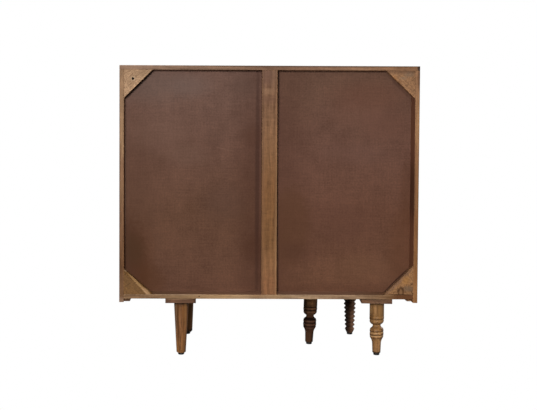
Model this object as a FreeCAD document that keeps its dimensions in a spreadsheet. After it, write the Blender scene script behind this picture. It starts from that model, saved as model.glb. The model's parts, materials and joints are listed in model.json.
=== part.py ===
import FreeCAD, Part
import math
import os
from types import SimpleNamespace

import Sketcher
from FreeCAD import Placement, Rotation, Vector

# A two-door bar cabinet on five turned legs of mixed patterns.
# Millimetres, +Z up, the doors face -Y and the open-framed back faces +Y.
# The origin is on the floor, in the middle of the cabinet's outer box.

SIZES = [
    # Carcass
    ("width", 1000, "across the outer faces of the sides"),
    ("height", 984, "floor to the top board"),
    ("depth", 425, "front edges to rear edges of the boards"),
    ("underClear", 204, "floor to the underside of the bottom board"),
    ("sideThick", 15, "side boards"),
    ("topThick", 14.5, "top board"),
    ("bottomThick", 14.5, "bottom board"),
    ("sideDrop", 12, "sides hang this far below the bottom board"),
    ("cleatRightWide", 20, "cleat under the bottom board, along the right side"),
    ("cleatRightInset", 16, "its ends, in from the front and rear edges"),
    ("cleatLeftWide", 14, "cleat under the bottom board, along the left side"),
    ("cleatLeftInset", 28, "its ends, in from the front and rear edges"),
    ("partThick", 15, "centre partition"),
    ("partSetback", 4, "partition's front edge behind the doors"),
    # Back
    ("rearStileWide", 51.5, "flat stile up the middle of the back"),
    ("rearStileThick", 20, "rear stile"),
    ("backThick", 4, "hardboard back panels"),
    ("backRecess", 57, "back panels in from the rear edges"),
    ("grooveDeep", 4, "grooves that hold the back panels"),
    ("grooveSlack", 0.1, "groove wall to panel face, each side"),
    ("panelPlay", 0.5, "panel edge to groove floor"),
    # Corner gussets, each named by its corner as seen from the front
    ("gussetThick", 20, "all four gussets"),
    ("upperRightRun", 95, "along the top board"),
    ("upperRightRise", 94, "along the side"),
    ("upperLeftRun", 97, "along the top board"),
    ("upperLeftRise", 92.5, "along the side"),
    ("lowerRightRun", 96.5, "along the bottom board"),
    ("lowerRightRise", 84.5, "along the side"),
    ("lowerLeftRun", 96.5, "along the bottom board"),
    ("lowerLeftRise", 97, "along the side"),
    ("lowerRightBevel", 8, "bevel of the long edge"),
    ("lowerLeftBevel", 4, "bevel of the long edge"),
    ("gussetHoleDia", 7, "strap hole in one upper gusset"),
    ("gussetHoleInset", 30, "strap hole from the side and from the top board"),
    # Legs: plates, bolts and glides
    ("plateLong", 103, "square leg plates"),
    ("plateThick", 18, "leg plates"),
    ("rearLegSet", 66, "rear legs' axes in from the rear edges"),
    ("frontLegSet", 64, "front legs' axes in from the front edges"),
    ("middleLegSet", 213, "middle leg's axis in from the rear edges"),
    ("rearRightIn", 207, "rear right leg's axis, in from the right side's outer face"),
    ("rearRightPlateIn", 205.5, "middle of its plate"),
    ("rearLeftIn", 122, "rear left leg's axis, in from the left side's outer face"),
    ("rearLeftPlateIn", 133, "middle of its plate"),
    ("frontRightIn", 225, "front right leg's axis, in from the right side"),
    ("frontLeftIn", 162, "front left leg's axis, in from the left side"),
    ("middleIn", 333, "middle leg's axis, in from the left side"),
    ("boltDia", 8, "bolt that joins leg and plate"),
    ("boltInLeg", 32, "length of the bolt inside the leg"),
    ("boltShort", 2, "bolt's end below the plate's upper face"),
    ("boltSlack", 0.1, "bolt to its hole, all round"),
    ("glideDia", 21, "black glide under each leg"),
    ("glideTall", 7, "glide below the leg's foot"),
    ("glideEdge", 1.2, "chamfer of the glide's lower rim"),
    ("glideStemDia", 6, "glide's stem"),
    ("glideStemTall", 14, "glide's stem, up inside the leg"),
    ("footEdge", 2, "chamfer round a plain foot"),
    # Plain legs
    ("taperTopDia", 51, "rear right leg at its plate"),
    ("taperFootDia", 32, "rear right leg at its foot"),
    ("stoutTopDia", 50, "front right leg at its plate"),
    ("stoutFootDia", 37, "front right leg at its foot"),
    ("stoutEdge", 5, "chamfer round the front right foot"),
    # Ringed leg
    ("ringTopDia", 51.6, "uppermost ring"),
    ("ringLowDia", 36, "lowest ring"),
    ("ringLowZ", 21, "lowest ring above the floor"),
    ("ringDeep", 4.2, "hollow between two rings"),
    ("ringFootDia", 22.5, "ringed leg at its foot"),
    ("ringAnkleDia", 30, "ringed leg under its lowest ring"),
    ("ringAnkleZ", 14.5, "that narrowing, above the floor"),
    # Baluster legs, from the foot upwards
    ("shankFootDia", 27.4, "shank at the foot"),
    ("shankTopDia", 30, "shank where it begins to swell"),
    ("shankTopZ", 42, "height of that"),
    ("lowBeadDia", 44.6, "bead over the shank"),
    ("lowBeadZ", 61.5, "height where the swelling meets the bead"),
    ("bandDia", 45.6, "bands of the lower bulb"),
    ("bandCrown", 0.5, "swell of a band between its grooves"),
    ("lowGrooveZ", 66, "lower groove of the bulb"),
    ("bulbGrooveZ", 79.8, "upper groove of the bulb"),
    ("shoulderZ", 87, "top of the bulb's straight side"),
    ("bulbTurnDia", 37.5, "bulb where its curve turns to the neck"),
    ("bulbTurnZ", 94, "height of that"),
    ("neckDia", 26.8, "neck"),
    ("neckZ", 102, "neck"),
    ("cupTurnDia", 35, "cup where its curve leaves the neck"),
    ("cupTurnZ", 107.4, "height of that"),
    ("cupDia", 47.8, "rim of the cup over the neck"),
    ("cupRimZ", 116.5, "height of that"),
    ("cupGrooveZ", 120.7, "groove over the cup"),
    ("drumGrooveZ", 134.4, "groove under the drum"),
    ("drumDia", 48.8, "drum under the plate"),
    ("grooveCut", 1.5, "depth of the turned grooves"),
    ("grooveHalf", 1.4, "half the width of the turned grooves"),
    ("shankCove", 1.3, "hollow of the shank's swelling"),
    ("neckCove", 1.2, "hollow of the curves at the neck"),
    ("neckRound", 1.1, "swell of the curves that leave the neck"),
    # Screws
    ("screwDia", 4, "plate screws"),
    ("screwHeadDia", 8, "their heads"),
    ("screwHeadTall", 2.6, "their heads"),
    ("screwBite", 6, "their points in the bottom board"),
    ("screwInset", 12, "screws in from the plate's edges"),
    ("screwSlack", 0.1, "any screw to its hole, all round"),
    # Doors
    ("doorThick", 18, "door stiles and rails"),
    ("doorGap", 2, "doors to the carcass"),
    ("meetGap", 3, "between the two doors"),
    ("frameWide", 62, "door stiles and rails"),
    ("frameGroove", 9, "grooves round the door panels"),
    ("doorPanelThick", 6, "door panels and the rails' tongues"),
    ("doorPanelPlay", 1, "door panel edge to groove floor"),
    ("tongueShort", 0.5, "tongue's end to groove floor"),
    # Knobs
    ("knobDia", 28, "knob"),
    ("knobReach", 26, "knob in front of the door"),
    ("knobNeckDia", 11, "knob's neck"),
    ("knobBaseDia", 17, "knob's foot on the door"),
    ("knobBaseTall", 3, "knob's foot"),
    ("knobHeadTall", 13, "knob's head, back to front"),
    ("knobCrown", 3.5, "dome of the knob's face"),
    ("knobFlatDia", 8, "flat in the middle of the knob's face"),
    ("knobStudDia", 5, "screwed stud on the knob"),
    ("knobStudLong", 12, "stud inside the door"),
    # Hinges
    ("hingeTall", 63, "hinge leaves"),
    ("hingeInset", 90, "hinges in from the door's ends"),
    ("leafThick", 1.2, "hinge leaves"),
    ("leafDeep", 14, "leaves behind the front edges"),
    ("knuckleDia", 7, "hinge knuckles"),
    ("knuckleGap", 0.3, "between knuckles, and to the front edges"),
    ("pinDia", 3, "hinge pins"),
    ("pinSlack", 0.05, "pin to knuckle, all round"),
    ("pinHeadDia", 5.4, "pin heads"),
    ("pinHeadTall", 1.4, "pin heads"),
    ("hingeScrewDia", 2.6, "hinge screws"),
    ("hingeScrewHeadDia", 4.8, "their heads"),
    ("hingeScrewLong", 10, "hinge screws"),
    ("hingeScrewSet", 7, "hinge screws behind the front edges"),
    ("hingeScrewStep", 21, "from one hinge screw to the next"),
    # Catches
    ("catchWide", 40, "magnetic catches"),
    ("catchTall", 13, "magnetic catches"),
    ("catchDeep", 15, "magnetic catches"),
    ("catchX", 45, "middle of a catch from the middle of the cabinet"),
    ("catchGap", 0.3, "catch to strike plate"),
    ("strikeThick", 1.2, "strike plates on the doors"),
    ("strikeWide", 30, "strike plates"),
    ("strikeTall", 9, "strike plates"),
    # Shelves
    ("shelfThick", 15, "shelves"),
    ("shelfUp", 365, "shelf's underside above the bottom board"),
    ("shelfPlay", 1, "shelf to the carcass, each end"),
    ("shelfSetback", 22, "shelf's front edge behind the doors"),
    ("shelfRearGap", 1, "shelf to the back panel"),
    ("shelfPinDia", 5, "shelf pins"),
    ("shelfPinOut", 9, "shelf pins, out of the boards"),
    ("shelfPinIn", 6, "shelf pins, inside the boards"),
    ("shelfPinSet", 45, "shelf pins in from the shelf's edges"),
    ("shelfPinSlack", 0.05, "shelf pin to its hole and to the shelf"),
    # Bar fittings
    ("railPitch", 105, "from one stemware rail to the next"),
    ("railFlangeWide", 75, "flange that carries the glass feet"),
    ("railFlangeThick", 6, "flange"),
    ("railWebWide", 22, "web that hangs the flange"),
    ("railWebTall", 20, "web"),
    ("railLong", 270, "stemware rails, front to back"),
    ("bottlePitch", 112, "from one bottle to the next"),
    ("bottleDia", 84, "cradle for a bottle's body"),
    ("bottleNeckDia", 36, "notch for a bottle's neck"),
    ("rearRailTall", 62, "rear bottle rail"),
    ("frontRailTall", 50, "front bottle rail"),
    ("bottleRailThick", 16, "bottle rails"),
    ("bottleRailSpan", 190, "between the two bottle rails' inner faces"),
    ("bottleRailSet", 60, "front bottle rail behind the doors"),
    ("bottleRailPlay", 1, "bottle rails to the carcass, each end"),
]
RING_COUNT = 11
STEMWARE_RAILS = 4
BOTTLES = 4
HINGE_SCREWS = 3


class Size:
    """A number with the sheet expression that gives it."""

    def __init__(self, value, text):
        self.value = value
        self.text = text

    def join(self, sign, other, value):
        return Size(value, "(%s %s %s)" % (self.text, sign, other.text))

    def __add__(self, other):
        other = as_size(other)
        return self.join("+", other, self.value + other.value)

    def __sub__(self, other):
        other = as_size(other)
        return self.join("-", other, self.value - other.value)

    def __mul__(self, other):
        other = as_size(other)
        return self.join("*", other, self.value * other.value)

    def __truediv__(self, other):
        other = as_size(other)
        return self.join("/", other, self.value / other.value)

    def __neg__(self):
        return Size(-self.value, "(0 - %s)" % self.text)


def as_size(number):
    return number if isinstance(number, Size) else Size(number, "%.6f" % number)


doc = FreeCAD.newDocument("BarCabinet")
sheet = doc.addObject("Spreadsheet::Sheet", "Sizes")
for row, (alias, value, note) in enumerate(SIZES, start=1):
    sheet.set("A%d" % row, note)
    sheet.set("B%d" % row, str(value))
    sheet.setAlias("B%d" % row, alias)
doc.recompute()
s = SimpleNamespace(**{alias: Size(value, "Sizes." + alias) for alias, value, note in SIZES})

# Planes that several pieces share
zero = as_size(0)
inner = s.width / 2 - s.sideThick
rear = (s.depth + s.knobReach) / 2
front = rear - s.depth
topUnder = s.height - s.topThick
floorTop = s.underClear + s.bottomThick
legTop = s.underClear - s.plateThick
sideFoot = s.underClear - s.sideDrop
partHalf = s.partThick / 2
doorBack = front + s.doorThick
doorFoot = floorTop + s.doorGap
doorHead = topUnder - s.doorGap
hingeEdge = inner - s.doorGap
meetEdge = s.meetGap / 2
backFace = rear - s.backRecess
backFront = backFace - s.backThick
LEFT, RIGHT = -1, 1
SIDES = {"left": LEFT, "right": RIGHT}

parts = []


def node(label, obj):
    """Names a finished piece and puts it on the list of pieces to write."""
    obj.Label = label
    parts.append(obj)
    return obj


def bind(obj, prop, size):
    obj.setExpression(prop, as_size(size).text)


def place(obj, x, y, z):
    for axis, size in zip("xyz", (x, y, z)):
        bind(obj, "Placement.Base." + axis, size)


def across(side, low, high):
    """A span right of centre, or its mirror image left of centre."""
    return (low, high) if side == RIGHT else (-high, -low)


def mirrored(side, x):
    return x if side == RIGHT else -x


def slab(name, x, y, z):
    """A square-edged board between two planes on each axis."""
    board = doc.addObject("Part::Box", name)
    for prop, (low, high) in zip(("Length", "Width", "Height"), (x, y, z)):
        bind(board, prop, high - low)
    place(board, x[0], y[0], z[0])
    return board


TURNS = {
    "+x": Rotation(Vector(0, 1, 0), 90),
    "-x": Rotation(Vector(0, 1, 0), -90),
    "+y": Rotation(Vector(1, 0, 0), -90),
    "-y": Rotation(Vector(1, 0, 0), 90),
    "+z": Rotation(),
}


def rod(name, dia, length, start, along):
    bar = doc.addObject("Part::Cylinder", name)
    bind(bar, "Radius", dia / 2)
    bind(bar, "Height", length)
    bar.Placement = Placement(Vector(), TURNS[along])
    place(bar, *start)
    return bar


def screw(name, head, head_tall, shank, length, start, along, slack=None):
    """A countersunk screw that starts at its head, or its hole where slack is given."""
    if slack is not None:
        head = head + slack * 2
        shank = shank + slack * 2
        length = length + slack
    cone = doc.addObject("Part::Cone", name + "_head")
    bind(cone, "Radius1", head / 2)
    bind(cone, "Radius2", shank / 2)
    bind(cone, "Height", head_tall)
    cone.Placement = Placement(Vector(), TURNS[along])
    place(cone, *start)
    return union(name, [cone, rod(name + "_shank", shank, length, start, along)])


def union(name, pieces):
    joined = doc.addObject("Part::MultiFuse", name)
    joined.Shapes = pieces
    return joined


def group(name, pieces):
    """Separate solids that are one kind of fastener or fitting."""
    bundle = doc.addObject("Part::Compound", name)
    bundle.Links = pieces
    return bundle


def cut(name, base, tools):
    result = doc.addObject("Part::Cut", name)
    result.Base = base
    result.Tool = tools[0] if len(tools) == 1 else group(name + "_tools", tools)
    return result


def origin_plane(body, role):
    return next(feature for feature in body.Origin.OriginFeatures if feature.Role == role)


def sketch_on(body, role, name):
    sketch = body.newObject("Sketcher::SketchObject", name)
    sketch.AttachmentSupport = [(origin_plane(body, role), "")]
    sketch.MapMode = "FlatFace"
    return sketch


def limit(sketch, kind, where, size):
    """Adds one driving dimension that follows the sheet."""
    index = sketch.addConstraint(Sketcher.Constraint(kind, *where, size.value))
    sketch.setExpression("Constraints[%d]" % index, size.text)


def arc_to_left(start, end, sag):
    """The arc from start to end that bows by sag to the left, and its radius."""
    rise = end[1] - start[1]
    run = end[0] - start[0]
    bow = sag if sag.value > 0 else -sag
    radius = ((run * run + rise * rise) / 4 + bow * bow) / (bow * 2)
    a = Vector(start[0].value, start[1].value, 0)
    b = Vector(end[0].value, end[1].value, 0)
    left = Vector(-(b - a).y, (b - a).x, 0).normalize()
    reach = sag.value - math.copysign(radius.value, sag.value)
    centre = (a + b) * 0.5 + left * reach
    first, last = (b, a) if sag.value > 0 else (a, b)
    low = math.atan2(first.y - centre.y, first.x - centre.x)
    high = math.atan2(last.y - centre.y, last.x - centre.x)
    if high < low:
        high += 2 * math.pi
    circle = Part.Circle(centre, Vector(0, 0, 1), radius.value)
    return Part.ArcOfCircle(circle, low, high), radius, sag.value > 0


def outline(sketch, points):
    """A closed chain through the points. A point is (x, y), or (x, y, sag) where the
    edge that leads to it is an arc. An x of None lies on the vertical axis."""
    spots = [(zero if p[0] is None else p[0], p[1]) for p in points]
    edges = []
    for i, point in enumerate(points):
        start, end = spots[i - 1], spots[i]
        if len(point) == 3:
            arc, radius, backwards = arc_to_left(start, end, point[2])
            index = sketch.addGeometry(arc, False)
            limit(sketch, "Radius", (index,), radius)
            edges.append((index, 2, 1) if backwards else (index, 1, 2))
        else:
            a = Vector(start[0].value, start[1].value, 0)
            b = Vector(end[0].value, end[1].value, 0)
            edges.append((sketch.addGeometry(Part.LineSegment(a, b), False), 1, 2))
    for i, (index, first, last) in enumerate(edges):
        following, begin, _ = edges[(i + 1) % len(edges)]
        sketch.addConstraint(Sketcher.Constraint("Coincident", index, last, following, begin))
        if points[i][0] is None:
            sketch.addConstraint(Sketcher.Constraint("PointOnObject", index, last, -2))
        else:
            limit(sketch, "DistanceX", (-1, 1, index, last), spots[i][0])
        limit(sketch, "DistanceY", (-1, 1, index, last), spots[i][1])


def turned(name, points, x, y, z, along="+z"):
    """A piece from the lathe: an outline of (radius, height) spun round its axis."""
    body = doc.addObject("PartDesign::Body", name)
    sketch = sketch_on(body, "XZ_Plane", name + "_outline")
    outline(sketch, points)
    spin = body.newObject("PartDesign::Revolution", name + "_spin")
    spin.Profile = sketch
    spin.ReferenceAxis = (sketch, ["V_Axis"])
    spin.Angle = 360
    body.Placement = Placement(Vector(), TURNS[along])
    place(body, x, y, z)
    return body


# Legs: where each stands, and where its plate is

halfWidth = s.width / 2
rearRow = rear - s.rearLegSet
frontRow = front + s.frontLegSet
middleRow = rear - s.middleLegSet
LEGS = {
    "rear_right": (halfWidth - s.rearRightIn, halfWidth - s.rearRightPlateIn, rearRow),
    "rear_left": (s.rearLeftIn - halfWidth, s.rearLeftPlateIn - halfWidth, rearRow),
    "front_right": (halfWidth - s.frontRightIn, halfWidth - s.frontRightIn, frontRow),
    "front_left": (s.frontLeftIn - halfWidth, s.frontLeftIn - halfWidth, frontRow),
    "middle": (s.middleIn - halfWidth, s.middleIn - halfWidth, middleRow),
}


def plate_screws(name, slack=None):
    """The four screws that hold one leg plate, or their holes."""
    _, x, y = LEGS[name]
    reach = s.plateLong / 2 - s.screwInset
    length = s.plateThick + s.screwBite
    made = []
    for i, (right, back) in enumerate(((-1, -1), (1, -1), (-1, 1), (1, 1))):
        start = (x + reach * right, y + reach * back, legTop)
        title = "screw_%s_%d" % (name, i) if slack is None else "screw_hole_%s_%d" % (name, i)
        made.append(
            screw(title, s.screwHeadDia, s.screwHeadTall, s.screwDia, length, start, "+z", slack)
        )
    return made


screwHoles = {name: plate_screws(name, s.screwSlack) for name in LEGS}


# Carcass boards

def back_groove(name, x, z):
    """The slot that takes one edge of the back panels."""
    return slab(name, x, (backFront - s.grooveSlack, backFace + s.grooveSlack), z)


def hinge_axis(side):
    """The pin's x and y: midway between the leaves, just clear of the front edges."""
    x = inner - s.leafThick - (s.doorGap - s.leafThick) / 2
    return mirrored(side, x), front - s.knuckleGap - s.knuckleDia / 2


hingeLows = {
    "lower": doorFoot + s.hingeInset,
    "upper": doorHead - s.hingeInset - s.hingeTall,
}


def hinge_screws(side, level, where, slack=None):
    """A leaf's screws, or their holes. They start on the leaf's open face."""
    outward = side if where == "carcass" else -side
    face = inner - s.leafThick if where == "carcass" else hingeEdge
    along = "+x" if outward == RIGHT else "-x"
    middle = hingeLows[level] + s.hingeTall / 2
    made = []
    for i in range(HINGE_SCREWS):
        height = middle + s.hingeScrewStep * (i - (HINGE_SCREWS - 1) / 2)
        start = (mirrored(side, face), front + s.hingeScrewSet, height)
        title = "%s_%s_%d_%s_%d" % (where, level, side + 1, "fit" if slack is None else "hole", i)
        made.append(
            screw(
                title, s.hingeScrewHeadDia, s.leafThick, s.hingeScrewDia,
                s.hingeScrewLong, start, along, slack,
            )
        )
    return made


shelfFoot = floorTop + s.shelfUp
shelfFront = doorBack + s.shelfSetback
shelfRear = backFront - s.shelfRearGap
pinHeight = shelfFoot - s.shelfPinSlack - s.shelfPinDia / 2
pinRows = {"front": shelfFront + s.shelfPinSet, "rear": shelfRear - s.shelfPinSet}


def shelf_pins(side, end, slack=None):
    """The two pins at one end of a shelf, or their holes."""
    face = inner if end == "outer" else partHalf
    outward = side if end == "outer" else -side
    along = "+x" if outward == RIGHT else "-x"
    dia = s.shelfPinDia
    length = s.shelfPinOut + s.shelfPinIn
    if slack is not None:
        dia = dia + slack * 2
        length = length + slack
    start = face - s.shelfPinOut if end == "outer" else face + s.shelfPinOut
    made = []
    for row, y in pinRows.items():
        title = "shelf_pin_%s_%s_%d_%s" % (end, row, side + 1, "fit" if slack is None else "hole")
        made.append(rod(title, dia, length, (mirrored(side, start), y, pinHeight), along))
    return made


rearSpan = (front, rear)
grooveFoot = floorTop - s.grooveDeep
grooveHead = topUnder + s.grooveDeep
grooveEnds = (partHalf - s.grooveDeep, inner + s.grooveDeep)

topBlank = slab("top_blank", (-halfWidth, halfWidth), rearSpan, (topUnder, s.height))
topGrooves = [
    back_groove("top_groove_" + name, across(side, *grooveEnds), (topUnder, grooveHead))
    for name, side in SIDES.items()
]
node("top_board", cut("top_board", topBlank, topGrooves))

bottomBlank = slab("bottom_blank", (-inner, inner), rearSpan, (s.underClear, floorTop))
bottomTools = [
    back_groove("bottom_groove_" + name, across(side, *grooveEnds), (grooveFoot, floorTop))
    for name, side in SIDES.items()
]
for holes in screwHoles.values():
    bottomTools += holes
node("bottom_board", cut("bottom_board", bottomBlank, bottomTools))

cleatSizes = {
    "left": (s.cleatLeftWide, s.cleatLeftInset),
    "right": (s.cleatRightWide, s.cleatRightInset),
}
for name, side in SIDES.items():
    blank = slab(name + "_blank", across(side, inner, halfWidth), rearSpan, (sideFoot, topUnder))
    tools = [
        back_groove(
            name + "_groove", across(side, inner, inner + s.grooveDeep), (grooveFoot, topUnder)
        )
    ]
    for level in hingeLows:
        tools += hinge_screws(side, level, "carcass", s.screwSlack)
    tools += shelf_pins(side, "outer", s.shelfPinSlack)
    node("side_" + name, cut("side_" + name, blank, tools))

    cleatWide, cleatInset = cleatSizes[name]
    cleatX = across(side, inner - cleatWide, inner)
    cleatY = (front + cleatInset, rear - cleatInset)
    node("cleat_" + name, slab("cleat_" + name, cleatX, cleatY, (sideFoot, s.underClear)))

partBlank = slab(
    "partition_blank",
    (-partHalf, partHalf),
    (doorBack + s.partSetback, rear - s.rearStileThick),
    (floorTop, topUnder),
)
partTools = []
for name, side in SIDES.items():
    slot = across(side, partHalf - s.grooveDeep, partHalf)
    partTools.append(back_groove("partition_groove_" + name, slot, (floorTop, topUnder)))
    partTools += shelf_pins(side, "inner", s.shelfPinSlack)
node("centre_partition", cut("centre_partition", partBlank, partTools))


# Back: stile, panels and gussets

stileHalf = s.rearStileWide / 2
stileY = (rear - s.rearStileThick, rear)
node("rear_stile", slab("rear_stile", (-stileHalf, stileHalf), stileY, (floorTop, topUnder)))

panelIn = partHalf - s.grooveDeep + s.panelPlay
panelOut = inner + s.grooveDeep - s.panelPlay
panelZ = (grooveFoot + s.panelPlay, grooveHead - s.panelPlay)
for name, side in SIDES.items():
    title = "back_panel_" + name
    node(title, slab(title, across(side, panelIn, panelOut), (backFront, backFace), panelZ))


def gusset(label, side, upward, run, rise, bevel=None, hole=None):
    """A corner block: its square corner sits in the corner of the carcass."""
    body = doc.addObject("PartDesign::Body", label)
    sketch = sketch_on(body, "XZ_Plane", label + "_outline")
    along = mirrored(-side, run)
    up = rise if upward else -rise
    outline(sketch, [(None, zero), (along, zero), (None, up)])
    pad = body.newObject("PartDesign::Pad", label + "_pad")
    pad.Profile = sketch
    bind(pad, "Length", s.gussetThick)
    doc.recompute()
    if bevel is not None:
        middle = Vector(along.value / 2, 0, up.value / 2)
        edges = pad.Shape.Edges
        long_edge = min(range(len(edges)), key=lambda i: edges[i].CenterOfMass.distanceToPoint(middle))
        chamfer = body.newObject("PartDesign::Chamfer", label + "_bevel")
        chamfer.Base = (pad, ["Edge%d" % (long_edge + 1)])
        bind(chamfer, "Size", bevel)
    if hole is not None:
        spot = sketch_on(body, "XZ_Plane", label + "_hole_outline")
        index = spot.addGeometry(Part.Circle(Vector(0, 0, 0), Vector(0, 0, 1), hole[0].value / 2))
        limit(spot, "Radius", (index,), hole[0] / 2)
        limit(spot, "DistanceX", (-1, 1, index, 3), mirrored(-side, hole[1]))
        limit(spot, "DistanceY", (-1, 1, index, 3), hole[1] if upward else -hole[1])
        pocket = body.newObject("PartDesign::Pocket", label + "_hole")
        pocket.Profile = spot
        pocket.Type = "ThroughAll"
        pocket.Reversed = True
    place(body, mirrored(side, inner), rear, floorTop if upward else topUnder)
    return node(label, body)


strapHole = (s.gussetHoleDia, s.gussetHoleInset)
gusset("gusset_upper_right", RIGHT, False, s.upperRightRun, s.upperRightRise, hole=strapHole)
gusset("gusset_upper_left", LEFT, False, s.upperLeftRun, s.upperLeftRise)
gusset("gusset_lower_right", RIGHT, True, s.lowerRightRun, s.lowerRightRise, bevel=s.lowerRightBevel)
gusset("gusset_lower_left", LEFT, True, s.lowerLeftRun, s.lowerLeftRise, bevel=s.lowerLeftBevel)


# Leg plates, bolts and screws

boltFoot = legTop - s.boltInLeg
boltTop = s.underClear - s.boltShort
boltHole = s.boltDia + s.boltSlack * 2
allScrews = []
allBolts = []
for name, (x, plateX, y) in LEGS.items():
    half = s.plateLong / 2
    blank = slab(
        "plate_blank_" + name,
        (plateX - half, plateX + half),
        (y - half, y + half),
        (legTop, s.underClear),
    )
    bore = rod("plate_bore_" + name, boltHole, s.plateThick, (x, y, legTop), "+z")
    label = "leg_plate_" + name
    node(label, cut(label, blank, [bore] + screwHoles[name]))
    allScrews += plate_screws(name)
    allBolts.append(rod("bolt_" + name, s.boltDia, boltTop - boltFoot, (x, y, boltFoot), "+z"))
node("leg_plate_screws", group("leg_plate_screws", allScrews))
node("leg_bolts", group("leg_bolts", allBolts))


# Legs and glides. Heights are above the floor.

foot = s.glideTall
stemTop = s.glideTall + s.glideStemTall
stemHole = s.glideStemDia / 2 + s.boltSlack


def bored(profile):
    """Adds the glide's hole in the foot and the bolt's hole in the top to a leg's outer line."""
    below = [(None, stemTop + s.boltSlack), (stemHole, stemTop + s.boltSlack), (stemHole, foot)]
    bolt = boltHole / 2
    above = [(bolt, legTop), (bolt, boltFoot - s.boltSlack), (None, boltFoot - s.boltSlack)]
    return below + profile + above


def tapered_leg(top, low, edge):
    return [(low / 2 - edge, foot), (low / 2, foot + edge), (top / 2, legTop)]


def ringed_leg():
    """Sharp rings with round hollows between them, wider towards the plate."""
    pitch = (legTop - s.ringLowZ) / (RING_COUNT - 0.5)
    growth = (s.ringTopDia - s.ringLowDia) / 2 / (RING_COUNT - 1)
    line = [(s.ringFootDia / 2, foot), (s.ringAnkleDia / 2, s.ringAnkleZ)]
    for ring in range(RING_COUNT):
        tip = (s.ringLowDia / 2 + growth * ring, s.ringLowZ + pitch * ring)
        line.append(tip if ring == 0 else tip + (s.ringDeep,))
    line.append((s.ringTopDia / 2 - s.ringDeep, legTop, s.ringDeep / 4))
    return line


def groove_at(dia, height):
    """A turned V groove in a leg: its lower lip, its floor and its upper lip."""
    return [
        (dia / 2, height - s.grooveHalf),
        (dia / 2 - s.grooveCut, height),
        (dia / 2, height + s.grooveHalf),
    ]


def baluster_leg():
    band = -s.bandCrown
    lowLip, lowFloor, bandStart = groove_at(s.bandDia, s.lowGrooveZ)
    bandEnd, bulbFloor, bulbStart = groove_at(s.bandDia, s.bulbGrooveZ)
    cupLip, cupFloor, collarStart = groove_at(s.cupDia, s.cupGrooveZ)
    collarEnd, drumFloor, drumStart = groove_at(s.drumDia, s.drumGrooveZ)
    return [
        (s.shankFootDia / 2 - s.footEdge, foot),
        (s.shankFootDia / 2, foot + s.footEdge),
        (s.shankTopDia / 2, s.shankTopZ),
        (s.lowBeadDia / 2, s.lowBeadZ, s.shankCove),
        lowLip,
        lowFloor,
        bandStart,
        bandEnd + (band,),
        bulbFloor,
        bulbStart,
        (s.bandDia / 2, s.shoulderZ, band),
        (s.bulbTurnDia / 2, s.bulbTurnZ, -s.neckRound),
        (s.neckDia / 2, s.neckZ, s.neckCove),
        (s.cupTurnDia / 2, s.cupTurnZ, s.neckCove),
        (s.cupDia / 2, s.cupRimZ, -s.neckRound),
        cupLip,
        cupFloor,
        collarStart,
        collarEnd + (band,),
        drumFloor,
        drumStart,
        (s.drumDia / 2, legTop),
    ]


PATTERNS = {
    "rear_right": tapered_leg(s.taperTopDia, s.taperFootDia, s.footEdge),
    "rear_left": baluster_leg(),
    "front_right": tapered_leg(s.stoutTopDia, s.stoutFootDia, s.stoutEdge),
    "front_left": ringed_leg(),
    "middle": baluster_leg(),
}
glideLine = [
    (None, zero),
    (s.glideDia / 2 - s.glideEdge, zero),
    (s.glideDia / 2, s.glideEdge),
    (s.glideDia / 2, foot),
    (s.glideStemDia / 2, foot),
    (s.glideStemDia / 2, stemTop),
    (None, stemTop),
]
for name, (x, _, y) in LEGS.items():
    node("leg_" + name, turned("leg_" + name, bored(PATTERNS[name]), x, y, zero))
    node("glide_" + name, turned("glide_" + name, glideLine, x, y, zero))


# Doors

grooveMid = front + s.doorThick / 2
frameSlot = (
    grooveMid - s.doorPanelThick / 2 - s.grooveSlack,
    grooveMid + s.doorPanelThick / 2 + s.grooveSlack,
)
tongueY = (grooveMid - s.doorPanelThick / 2, grooveMid + s.doorPanelThick / 2)
doorY = (front, doorBack)
doorZ = (doorFoot, doorHead)
lockIn = meetEdge + s.frameWide
hingeIn = hingeEdge - s.frameWide
railZ = {
    "bottom": (doorFoot, doorFoot + s.frameWide),
    "top": (doorHead - s.frameWide, doorHead),
}
knobX = meetEdge + s.frameWide / 2
knobZ = (doorFoot + doorHead) / 2

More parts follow.
